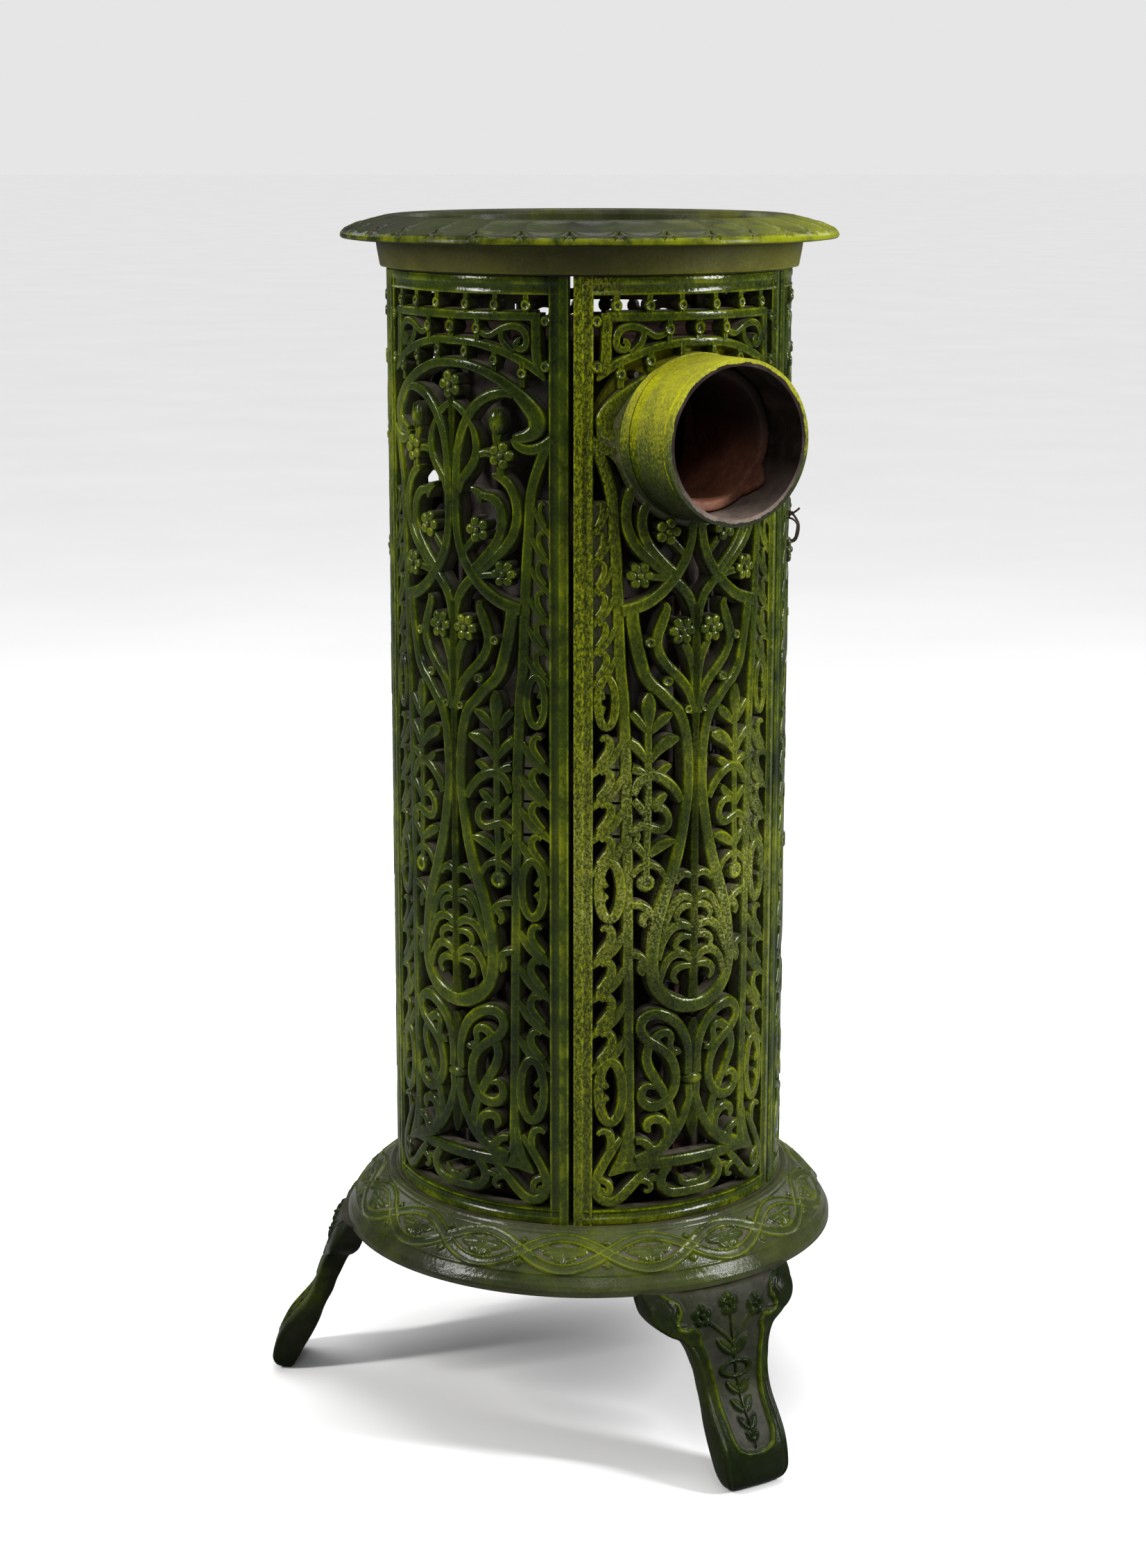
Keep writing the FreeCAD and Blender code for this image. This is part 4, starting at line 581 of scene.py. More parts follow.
def ring_relief(TH, SS):
    s0, amp, Lr = 27.5, 13.6, 2 * pi / NOV
    ph = (TH / Lr) % 1.0
    idx = np.floor(TH / Lr)
    x = (ph - 0.5) * 67.0                       # along the oval, mm
    y = SS - s0                                 # down the slope, mm
    H = np.zeros_like(TH)
    C = np.full(TH.shape, 0.30)
    curve = amp * np.sin(pi * ph)
    slope = np.sqrt(1 + (amp * pi / 67.0 * np.cos(pi * ph))**2)
    for sign in (1, -1):
        d = np.abs(y - sign * curve) / slope
        up = ((idx % 2) == 0) == (sign > 0)
        near = np.clip(1 - np.minimum(ph, 1 - ph) * 67.0 / 8.0, 0, 1)
        cross = np.minimum(ph, 1 - ph) < 0.5
        first = np.where(ph < .5, up, ~up)
        lift = np.where(first, 0.35, -0.35) * near
        w = 4.9
        e = np.clip((w - d) / 1.1, 0, 1)
        h = (1.9 + lift) * e - 0.8 * np.clip(1 - (d / 3.1)**4, 0, 1)
        h = np.where(d < w, h, 0)
        better = h > H
        H = np.where(better, h, H)
        C = np.where(better & (d < w), np.where(d > 2.7, 0.95, 0.45), C)
    # leaf inside each oval
    L = np.zeros_like(H)
    for (lx, ly, a, bb, rot, h) in ((0, 0.5, 9.0, 6.0, 0, 1.3), (-9.5, -1.2, 9.5, 4.6, 0.10, 1.35), (9.5, -1.2, 9.5, 4.6, -0.10, 1.35), (-6.2, 4.8, 4.6, 3.2, 0.9, 1.1), (6.2, 4.8, 4.6, 3.2, -0.9, 1.1), (0, 6.6, 2.8, 4.0, 0, 1.2)):
        L = np.maximum(L, blob(x, y, lx, ly, a, bb, rot, h))
    L = np.where(L > 0.05, 1.7 * np.minimum(L, 1.0) - 0.7 * np.exp(-((x - 0) / .8)**2) * (y > -3) - 0.4 * np.exp(-((y + 1.5 - np.abs(x) * .12) / .7)**2) * (np.abs(x) > 3), 0)
    stem, _, _ = seg_dist(x, y, [(0, -3, 1), (0.6, -7, 1), (0, -10.5, 1)])
    L = np.maximum(L, np.where(stem < 1.3, .8 * np.sqrt(np.clip(1 - (stem / 1.3)**2, 0, 1)), 0))
    inside = np.abs(y) < curve - 4.9
    H = np.where(inside, np.maximum(H, L), H)
    C = np.where(inside & (L > .5), .5 + .35 * np.clip((1.7 - L) / .8, 0, 1), np.where(inside, .08, C))
    # diamonds between the ovals, outer and inner
    xx = np.where(ph > .5, (ph - 1.0), ph) * 67.0
    for yy, a, bb in ((9.6, 4.4, 3.9), (-9.4, 3.6, 3.0)):
        q = np.abs(xx) / a + np.abs(y - yy) / bb
        h = np.where(q < 1, 1.7 * np.clip((1 - q) * 4, 0, 1), 0)
        H = np.maximum(H, h)
        C = np.where(q < 1, .65, C)
    # a thin bead above and below the band
    for yc, h in ((17.6, .5), (-18.6, .45)):
        g = h * np.exp(-((y - yc) / .8)**2)
        H = H + g
        C = np.where(g > .25, .6, C)
    H = np.where((SS > 5) & (SS < 51), H, 0) - 0.35
    H = np.where(SS < 5, 0, H)
    H = H * np.clip((54 - SS) / 3, 0, 1)
    C = np.where(SS > 60, 0.02, C)
    return np.minimum(H, 1.9), C


def build_ring():
    b = Bin()
    P, s = arc_table(RING_OUT)
    lathe(b, RING_OUT, 150, 17 * 78, ring_relief, smooth=False)
    inner = [(160, 181.8), (128.2, 182.0), (128.0, 185), (128.2, 188.5), (161.0, 188.5), (161.6, 188.7)]
    lathe(b, inner, 14, 180, None, crest=0.1, smooth=False)
    return b


# ----------------------------------------------------------------- top rim
NRIM = 33
RIM_TOP = [(168.2, 950.0), (180, 950.0), (190, 950.05), (194.4, 950.6), (195.6, 952.2), (195.4, 954.2), (192, 957.7), (184, 961.4), (172, 965.0), (160, 967.6), (153, 968.15), (149.6, 967.0), (147.6, 963.5), (147.1, 955), (147, 945.4), (141.2, 945.1), (141.0, 941.2), (150.8, 941.1)]


def rim_relief(TH, SS):
    P, s = arc_table(RIM_TOP)
    Lr = 2 * pi / NRIM
    ph = (TH / Lr) % 1.0
    x = (ph - .5) * 34.5
    y = SS - s[5]                       # 0 at the widest edge, growing inwards
    # tongue: its tip near the edge, its root at the inner bead
    tip, root = 3.2, 38.0
    k = np.clip((y - tip) / 17.0, 0, 1)
    half = 17.4 * np.sqrt(np.clip(1 - (1 - k)**2, 0, 1))**1.15
    q = half - np.abs(x)
    bow = np.sqrt(np.clip(1 - (np.abs(x) / np.maximum(half, .1))**2, 0, 1))
    H = np.where((q > 0) & (y > tip) & (y < root), 1.9 * bow**.8 * np.clip((y - tip) / 5, 0, 1)**.5 * np.clip((root - y) / 9, 0, 1)**.5, 0.0)
    C = np.where((q > 0) & (q < 1.8) & (y < root), .34 + .40 * np.clip(1 - (y - 6) / 12, 0, 1), .34)
    # small pointed leaf between two tips
    xx = np.where(ph > .5, ph - 1.0, ph) * 34.5
    lw = 4.6 * np.clip(1 - (y - 1.0) / 11.5, 0, 1)
    lf = (np.abs(xx) < lw) & (y > .8) & (y < 12.5)
    hl = 1.7 * np.exp(-((lw - np.abs(xx) - .9) / .8)**2) + .7 * np.exp(-(xx / .7)**2)
    H = np.where(lf, np.maximum(hl, 0), H)
    C = np.where(lf, np.where(hl > .8, .85, .04), C)
    H = np.where(y > root, .55 * np.clip((y - root) / .8, 0, 1) * np.clip((root + 4 - y) / .8, 0, 1), H)
    edge = np.clip(1 - np.abs(y + 0.5) / 3.0, 0, 1)
    H = np.where(y < .8, 0.3 * edge, H)
    C = np.where((y < 2.4) & (y > -3.5), .9, C)
    on = (y > -3) & (y < root + 5)
    return np.where(on, H - .25, 0), np.where(y > root + 5, .22, np.where(y < -3.5, .1, C))


SKIRT = [(160.8, 928.9), (164.4, 929.0), (164.9, 930.2), (166.2, 938.5), (167.9, 948.8), (168.2, 950.0)]
RIM_IN = [(150.8, 941.1), (152, 955), (152.8, 962.6), (160, 962.6), (172, 960.1), (184, 956.2), (186.4, 954.9), (165.2, 954.3), (160.6, 933), (128.1, 933), (128.0, 927.7), (160.2, 927.6), (160.8, 928.9)]


def build_rim():
    b = Bin()
    lathe(b, RIM_TOP, 120, 33 * 30, rim_relief, smooth=False)
    lathe(b, RIM_IN, 40, 198, None, crest=0.05, smooth=False)
    return b


def build_skirt():
    b = Bin()
    lathe(b, SKIRT, 24, 330, lambda T, S: (0.35 * np.sin(T * 23) * np.sin(S * .3) * .3, np.where(S < 5, .5, np.where(S > 22, .1, .2)) + 0 * T), smooth=False)
    return b


# -------------------------------------------------------------------- legs
LEG_FACE = [(262, 0), (267, 5), (269, 11), (267.5, 20), (264, 30), (258.4, 40), (249.3, 51), (240.5, 61.5), (234, 73), (228.5, 90), (222.5, 109), (217.5, 127), (210, 143.5), (205, 150)]
LEG_REAR = [(252, 0), (247, 9), (243, 17), (238, 25.5), (233, 34.5), (228, 45), (224, 56), (220, 64.5), (216, 72), (212.5, 82), (208, 92), (203, 104), (198, 116), (194, 128), (191, 140), (190, 145)]
LEG_W = [(0, 20.0), (1.5, 22.5), (4, 24.5), (12, 27), (26, 28), (41, 28.5), (56, 29), (70, 29.5), (84, 31), (90, 32.5), (101, 36), (111, 43), (117, 54), (127, 66), (138, 69.5), (150, 70)]
LEG_PANEL = [(0, 28.5), (9, 29.5), (15.5, 33), (18.5, 40), (19.5, 55), (20.5, 72), (22.5, 88), (26, 100), (29, 109), (28.5, 115), (32, 120), (39, 119), (45, 121), (46, 127), (42, 133), (43, 139), (50, 143.5), (55, 148), (0, 152)]


def curve_at(pts, z, key):
    P = spline([(p[0], p[1], 0) for p in pts], 16)
    if key == "r":
        o = np.argsort(P[:, 1])
        return np.interp(z, P[o, 1], P[o, 0])
    o = np.argsort(P[:, 0])
    return np.interp(z, P[o, 0], P[o, 1])


def leg_height(T, Zc, HW):
    """Ornament of the leg's face over (across, up), in mm."""
    poly = [(t, z) for t, z in LEG_PANEL] + [(-t, z) for t, z in LEG_PANEL[::-1][1:-1]]
    line = [(t, z, 3.0) for t, z in LEG_PANEL[:-1]]
    A = np.abs(T)
    ins = in_poly(T, Zc, poly)
    d, _, _ = seg_dist(A, Zc, line)
    H = np.where(ins, -1.9 * np.clip(d / 2.6, 0, 1), 0.0)
    H = H + 0.75 * np.exp(-(d / 1.5)**2)
    C = np.where(d < 1.7, .85, np.where(ins, .12, .35))
    # shoulder knob
    H = np.maximum(H, np.where(ins, -5, blob(A, Zc, 57.5, 131.5, 12.5, 13.5, 0, 3.0) - .6))
    # an inner curl line on the knob
    g = raised(A, Zc, [(51, 142, 2), (46.5, 136.5, 2.4), (50.5, 130, 2.4), (48, 124, 2), (40, 123.5, 1.8)], 1.0)
    H = np.where(g > 0, np.maximum(H, H + g), H)
    # stems, leaves and flowers in the sunken panel
    O = np.zeros_like(H)
    K = np.zeros_like(H)
    stems = [[(0, 33, 1.6), (0.4, 60, 2.0), (0, 86, 2.2), (0, 104, 2.2), (0.6, 118, 2.2), (0, 128, 2.0)],
             [(0, 104, 2.0), (7, 112, 2.2), (15, 119, 2.2), (24, 126, 2.0)], [(0, 104, 2.0), (-7, 112, 2.2), (-15, 119, 2.2), (-24, 126, 2.0)]]
    for st in stems:
        O = np.maximum(O, raised(T, Zc, st, 1.3))
    for z, L_, W_, up in ((37, 9, 5, 1.0), (45, 12, 6, .85), (56, 13, 7, .8), (68, 14, 8, .75), (96, 19, 9, .75)):
        for s in (1, -1):
            rot = up if s > 0 else pi - up
            O = np.maximum(O, leaf_h(T, Zc, s * .6, z, L_, W_, rot, 1.7))
    for (u, z, fr) in ((-25, 128.5, 8.5), (0, 134.0, 8.6), (25, 128.5, 8.5)):
        for i in range(5):
            a = pi / 2 + 2 * pi * i / 5
            O = np.maximum(O, blob(T, Zc, u + .6 * fr * cos(a), z + .6 * fr * sin(a), fr * .44, fr * .44, 0, 2.3))
        O = np.maximum(O, blob(T, Zc, u, z, fr * .27, fr * .27, 0, 3.2))
        O = O - .9 * np.exp(-((np.hypot(T - u, Zc - z) - fr * .34) / .6)**2) * (O > 0)
    # oval tie round the stems
    e = np.abs(np.hypot((T) / 12.5, (Zc - 86) / 5.6) - 1) * 6.5
    O = np.maximum(O, np.where(e < 1.6, 2.1 * np.sqrt(np.clip(1 - (e / 1.6)**2, 0, 1)), 0))
    O = np.maximum(O, 0) * 1.35
    H = np.where(O > 0, np.maximum(H, -1.9 + O), H)
    C = np.where(O > .9, .50 + .3 * np.clip((1.6 - O) / .7, 0, 1), C)
    # the outer edge rolls over
    edge = HW - A
    H = H - 2.6 * (1 - np.sqrt(np.clip(1 - (1 - np.clip(edge / 3.4, 0, 1))**2, 0, 1)))
    # scotia along the shaft between panel and edge
    H = H - np.where((~ins) & (Zc < 108), .55 * np.exp(-((edge - 4.6) / 1.5)**2), 0)
    return H, C


def build_leg(angle):
    b = Bin()
    nz, nt = 150, 111
    z = np.concatenate([np.linspace(0.2, 6, 10), np.linspace(7, 144.6, nz - 10)])
    r = curve_at(LEG_FACE, z, "r")
    hw = curve_at([(a, w) for a, w in LEG_W], z, "w")
    jt = np.linspace(-1, 1, nt)
    J = np.sign(jt) * (1 - (1 - np.abs(jt))**1.25)
    hw = hw * (1 + .07 * np.clip((110 - z) / 60, 0, 1))
    T = hw[:, None] * J[None]
    # the top edge is bowed: lower in the middle
    zt = z[:, None] + np.clip((z[:, None] - 125) / 20, 0, 1) * 4.2 * (T / 70)**2
    H, C = leg_height(T, zt, hw[:, None])
    rr = curve_at(LEG_FACE, np.clip(zt, 0.2, 150), "r")
    rg = np.gradient(r, z)
    nl = np.sqrt(1 + rg**2)
    over = np.clip((zt - 143.5) / 5, 0, 1)
    Rr = rr + H / nl[:, None]
    Zz = zt - H * (rg / nl)[:, None]
    Zz = np.clip(Zz, 0.0, 149.0)
    # under the base ring's lip the face stops short
    lim = np.where(Zz > 145.0, np.maximum(Rr, 202.9), Rr)
    ang = np.arcsin(np.clip(T / rr, -1, 1))
    a0 = rad(angle)

    def place(Rp, An, Zp):
        lean = (-6.5 if angle == 90 else 0.0) * np.clip((135 - Zp) / 135, 0, 1)
        return np.stack([Rp * np.cos(An + a0) + lean * np.sin(a0) * -1, Rp * np.sin(An + a0) + YS, Zp], -1)
    F = place(lim, ang, Zz)
    b.grid(F, C, flip=False)
    # rear face
    zr = np.clip(z, 0, 145)
    rb = curve_at(LEG_REAR, zr, "r")
    nb = 15
    jb = np.linspace(-1, 1, nb)
    Tb = (hw[:, None] - 2.2) * jb[None]
    rbb = rb[:, None] + 2.5 * (1 - (1 - np.abs(jb))**.6)[None] * 0 + 2.2 * np.abs(jb)[None]**6
    Zb = np.clip(z[:, None] + 0 * Tb, 0, 144.6)
    B = place(rbb, np.arcsin(np.clip(Tb / rbb, -1, 1)), Zb)
    b.grid(B, 0.05, flip=True)
    # side walls, rounded, from the face's edge to the rear's edge
    for side in (0, -1):
        f0 = F[:, side]
        b0 = B[:, side]
        rows = []
        for k in np.linspace(0, 1, 7):
            m = f0 * (1 - k) + b0 * k
            rows.append(m)
        G = np.array(rows).transpose(1, 0, 2)
        # bulge outwards a little so the wall reads as cast, not cut
        tdir = np.array([-sin(a0), cos(a0), 0]) * (-1 if side == 0 else 1)
        bulge = 0.8 * np.sin(pi * np.linspace(0, 1, 7))
        G = G + bulge[None, :, None] * tdir[None, None]
        cc = np.tile(np.linspace(.25, .08, 7), (len(z), 1))
        b.grid(G, cc, flip=(side != 0))
    # sole and top edge
    for row, fl in ((0, False), (-1, True)):
        rows = []
        nf = F.shape[1]
        for k in np.linspace(0, 1, 6):
            fr = F[row]
            tt = np.linspace(0, nb - 1, nf)
            bk = np.stack([np.interp(tt, np.arange(nb), B[row][:, c]) for c in range(3)], 1)
            rows.append(fr * (1 - k) + bk * k)
        b.grid(np.array(rows), 0.1, flip=fl)
    return b


# --------------------------------------------------- collar, liner and wire
def ytube(b, prof, n=160, rough=None, closed=True, crest=None):
    """Turns a closed (radius, y) outline about the flue's axis."""
    t = np.linspace(0, 2 * pi, n, endpoint=False)
    P = np.array(prof, float)
    rows = []
    for i, (r, y) in enumerate(P):
        dr = np.zeros(n)
        dy = np.zeros(n)
        if rough:
            dr, dy = rough(i, t, r, y)
        rr, yy = r + dr, y + dy
        rows.append(np.stack([rr * np.cos(t), yy + YS, FLUE_Z + rr * np.sin(t)], -1))
    G = np.array(rows)
    C = np.tile(np.array(crest if crest is not None else [.4] * len(P))[:, None], (1, n))
    b.grid(G, C, close_u=closed, close_v=True, flip=True)


def wob(t, seed, k=6, amp=1.0):
    g = np.random.default_rng(seed)
    z = np.zeros_like(t)
    for i in range(1, k + 1):
        z += g.normal() * np.cos(i * t + g.uniform(0, 6.28)) / i**.8
    return amp * z / 2


def build_collar():
    b = Bin()
    prof = [(56.6, 122), (56.6, 150), (56.6, 172), (56.7, 190), (56.7, 205), (56.9, 209.5), (57.6, 212.2), (58.9, 213.3), (60.4, 213.2), (61.6, 212.1), (62.1, 210.2),
            (62.3, 207.8), (62.1, 205.6), (62.05, 200), (62.1, 192), (62.15, 180), (62.2, 170), (62.3, 160), (62.2, 150), (62.2, 140), (62.1, 122)]
    crest = [0, 0, 0, 0, .05, .35, .8, 1, 1, .95, .8, .7, .35, .3, .3, .28, .25, .25, .1, .05, 0]
    chip = wob(np.linspace(0, 2 * pi, 200, endpoint=False), 3, 22, .55)

    def rough(i, t, r, y):
        lip = max(0.0, 1 - abs(y - 213) / 8.0)
        c = wob(t, 3, 24, .42) * lip
        e = wob(t, 11, 5, .22)
        bite = -1.3 * np.exp(-((t - 3.55) / .12)**2) - .9 * np.exp(-((t - 4.4) / .08)**2) - .8 * np.exp(-((t - 5.6) / .16)**2)
        return -np.clip(np.abs(c) * .5, 0, .5) * (1 if r > 59 else -1) - (0.0 if r < 59 else .25) * np.abs(e), np.minimum(c - .25, 0) + bite * lip
    ytube(b, prof, 240, rough, crest=crest)
    return b


def build_liner():
    b = Bin()
    prof = [(47.4, 78.4), (47.3, 110), (47.3, 140), (47.3, 162), (47.4, 170.5), (48.0, 172.0), (49.2, 172.5), (52.5, 172.5), (54.2, 172.2), (55.1, 171.2), (55.3, 168), (55.3, 140), (55.3, 110), (55.2, 78.4)]

    def rough(i, t, r, y):
        lip = max(0.0, 1 - abs(y - 172) / 10.0)
        # a long shell broken out of the lower right of the lip
        a = (t - 3.85 + pi) % (2 * pi) - pi
        bite = -4.0 * np.exp(-(a / .22)**4) * lip
        return wob(t, 23, 9, .10), bite + wob(t, 29, 18, .28) * lip
    ytube(b, prof, 200, rough, crest=[.3] * len(prof))
    # the broken piece stands in the bore just outside the lip
    rows = []
    for q in np.linspace(3.56, 4.16, 19):
        k = max(0.0, 1 - abs((q - 3.83) / .31)**1.25)
        y1 = 170.0 + 16.0 * k + .5 * sin(47 * q)
        r0 = 50.4 + .3 * sin(31 * q)
        rows.append([(r * cos(q), y + YS, FLUE_Z + r * sin(q)) for r, y in ((r0, 164), (r0, y1 - .8), (r0 + .8, y1), (54.6, y1 - .2), (55.2, y1 - 1.2), (55.2, 164))])
    b.grid(np.array(rows), .3, close_v=True, flip=True)
    m = 6
    b.f.append([b.n - m + i for i in range(m)][::-1])
    b.f.append([b.n - m * len(rows) + i for i in range(m)])
    return b


def tube_along(b, P, r, n=10, crest=.5):
    P = np.array(P, float)
    T = np.gradient(P, axis=0)
    T /= np.linalg.norm(T, axis=1)[:, None] + 1e-9
    up = np.array([0.3, 0.2, 0.93])
    N = np.cross(T, up); N /= np.linalg.norm(N, axis=1)[:, None] + 1e-9
    Bn = np.cross(T, N)
    t = np.linspace(0, 2 * pi, n, endpoint=False)
    rr = np.broadcast_to(np.asarray(r, float), (len(P),))
    G = P[:, None] + rr[:, None, None] * (N[:, None] * np.cos(t)[None, :, None] + Bn[:, None] * np.sin(t)[None, :, None])
    b.grid(G, crest, close_v=True, flip=True)
    b.f.append([b.n - n + i for i in range(n)][::-1])
    b.f.append([b.n - n * len(P) + i for i in range(n)])


def build_wire():
    b = Bin()
    A = 162 + math.degrees(-52 / 160.)
    Zl = FOOT + 541.0
    n = 90
    t = np.linspace(0, 2 * pi, n)
    a0 = rad(A)
    er, et = np.array([cos(a0), sin(a0), 0]), np.array([-sin(a0), cos(a0), 0])
    c = np.array([0, YS, Zl])

    def pt(r, s, z):
        return c + er * r + et * s + np.array([0, 0, z])
    # an irregular loop: up through the openwork, over to the knot, down outside, back under the band
    outline = [(143.5, 0, 6), (147, .4, 9.6), (152, .3, 10.2), (157, 0, 8.6), (161.4, .2, 5.7), (165.2, -.2, 1.4), (167.6, .2, -4.0),
               (167.4, 0, -10.0), (165.4, .3, -16.0), (162.6, 0, -17.8), (158.6, -.2, -17.0), (155, 0, -12.5), (150.5, .3, -8.0), (145.5, .2, -3.5), (143.2, 0, 1.5), (143.5, 0, 6)]
    Q = spline([(r, z, s) for r, s, z in outline], 8)
    tube_along(b, [pt(q[0], q[2], q[1]) for q in Q], .95)
    # the outer run is doubled, and both ends twist together in a short knot with one end standing out
    twin = spline([(158.2, 8.0, .9), (160.8, 4.2, 1.6), (159.6, 1.6, 0.6), (163.0, 0.4, -1.4), (166.4, -3.2, -1.3), (166.2, -9.2, -1.2), (164.2, -15.4, -1.0), (160.4, -17.2, -1.1)], 8)
    tube_along(b, [pt(q[0], q[2], q[1]) for q in twin], .85)
    ph = np.linspace(0, 2 * pi * 1.6, 40)
    tube_along(b, [pt(158.8 + 4.4 * k + .9 * cos(a), 1.5 * sin(a), 6.2 - 1.8 * k + .9 * sin(a)) for a, k in zip(ph, np.linspace(0, 1, 40))], .85)
    tail = spline([(159.4, 4.2, -.8), (162.8, 5.2, -1.4), (166.4, 7.6, -.8), (168.2, 9.2, 0)], 6)
    tube_along(b, [pt(q[0], q[2], q[1]) for q in tail], .85)
    return b


# --------------------------------------------------------------- materials
class Nodes:
    def __init__(self, name):
        self.m = bpy.data.materials.new(name)
        self.m.use_nodes = True
        self.t = self.m.node_tree
        self.t.nodes.clear()
        self.out = self.t.nodes.new("ShaderNodeOutputMaterial")
        self.bsdf = self.t.nodes.new("ShaderNodeBsdfPrincipled")
        self.t.links.new(self.bsdf.outputs[0], self.out.inputs["Surface"])
        self.co = self.t.nodes.new("ShaderNodeTexCoord")

    def n(self, kind, **kw):
        x = self.t.nodes.new(kind)
        for k, v in kw.items():
            if k.startswith("i_"):
                x.inputs[k[2:].replace("_", " ")].default_value = v
            else:
                setattr(x, k, v)
        return x

    def link(self, a, b):
        self.t.links.new(a, b)

    def noise(self, scale, detail=4.0, rough=.55, dist=0.0, stretch=None, kind="ShaderNodeTexNoise"):
        src = self.co.outputs["Object"]
        if stretch:
            mp = self.n("ShaderNodeMapping")
            mp.inputs["Scale"].default_value = stretch
            self.link(src, mp.inputs["Vector"])
            src = mp.outputs[0]
        x = self.n(kind)
        self.link(src, x.inputs["Vector"])
        x.inputs["Scale"].default_value = scale
        if kind == "ShaderNodeTexNoise":
            x.inputs["Detail"].default_value = detail
            x.inputs["Roughness"].default_value = rough
            x.inputs["Distortion"].default_value = dist
            return x.outputs["Fac"]
        return x.outputs["Distance"]

    def ramp(self, src, stops, interp="LINEAR"):
        x = self.n("ShaderNodeValToRGB")
        x.color_ramp.interpolation = interp
        el = x.color_ramp.elements
        while len(el) < len(stops):
            el.new(0.5)
        for e, (p, c) in zip(el, stops):
            e.position = p
            e.color = (c, c, c, 1) if isinstance(c, (int, float)) else (*c, 1)
        self.link(src, x.inputs[0])
        return x.outputs[0]

    def mix(self, fac, a, b, mode="MIX"):
        x = self.n("ShaderNodeMix", data_type="RGBA", blend_type=mode)
        for sock, val in ((x.inputs[0], fac), (x.inputs[6], a), (x.inputs[7], b)):
            if isinstance(val, bpy.types.NodeSocket):
                self.link(val, sock)
            elif isinstance(val, (int, float)):
                sock.default_value = val if sock == x.inputs[0] else (val, val, val, 1)
            else:
                sock.default_value = (*val, 1)
        return x.outputs[2]

    def math(self, op, a, b=0.0, c=None, clamp=False):
        x = self.n("ShaderNodeMath", operation=op)
        x.use_clamp = clamp
        for i, val in enumerate((a, b) if c is None else (a, b, c)):
            if isinstance(val, bpy.types.NodeSocket):
                self.link(val, x.inputs[i])
            else:
                x.inputs[i].default_value = val
        return x.outputs[0]

    def attr(self, name="crest"):
        x = self.n("ShaderNodeAttribute", attribute_name=name)
        return x.outputs["Fac"]

    def sep(self, what="Object"):
        x = self.n("ShaderNodeSeparateXYZ")
        self.link(self.co.outputs[what] if what != "Normal" else self.n("ShaderNodeNewGeometry").outputs["Normal"], x.inputs[0])
        return x.outputs

    def bump(self, layers):
        prev = None
        for h, strength, dist in layers:
            x = self.n("ShaderNodeBump")
            x.inputs["Strength"].default_value = strength
            x.inputs["Distance"].default_value = dist
            self.link(h, x.inputs["Height"])
            if prev is not None:
                self.link(prev, x.inputs["Normal"])
            prev = x.outputs[0]
        self.link(prev, self.bsdf.inputs["Normal"])

    def set(self, **kw):
        for k, v in kw.items():
            s = self.bsdf.inputs[k.replace("_", " ")]
            if isinstance(v, bpy.types.NodeSocket):
                self.link(v, s)
            else:
                s.default_value = v


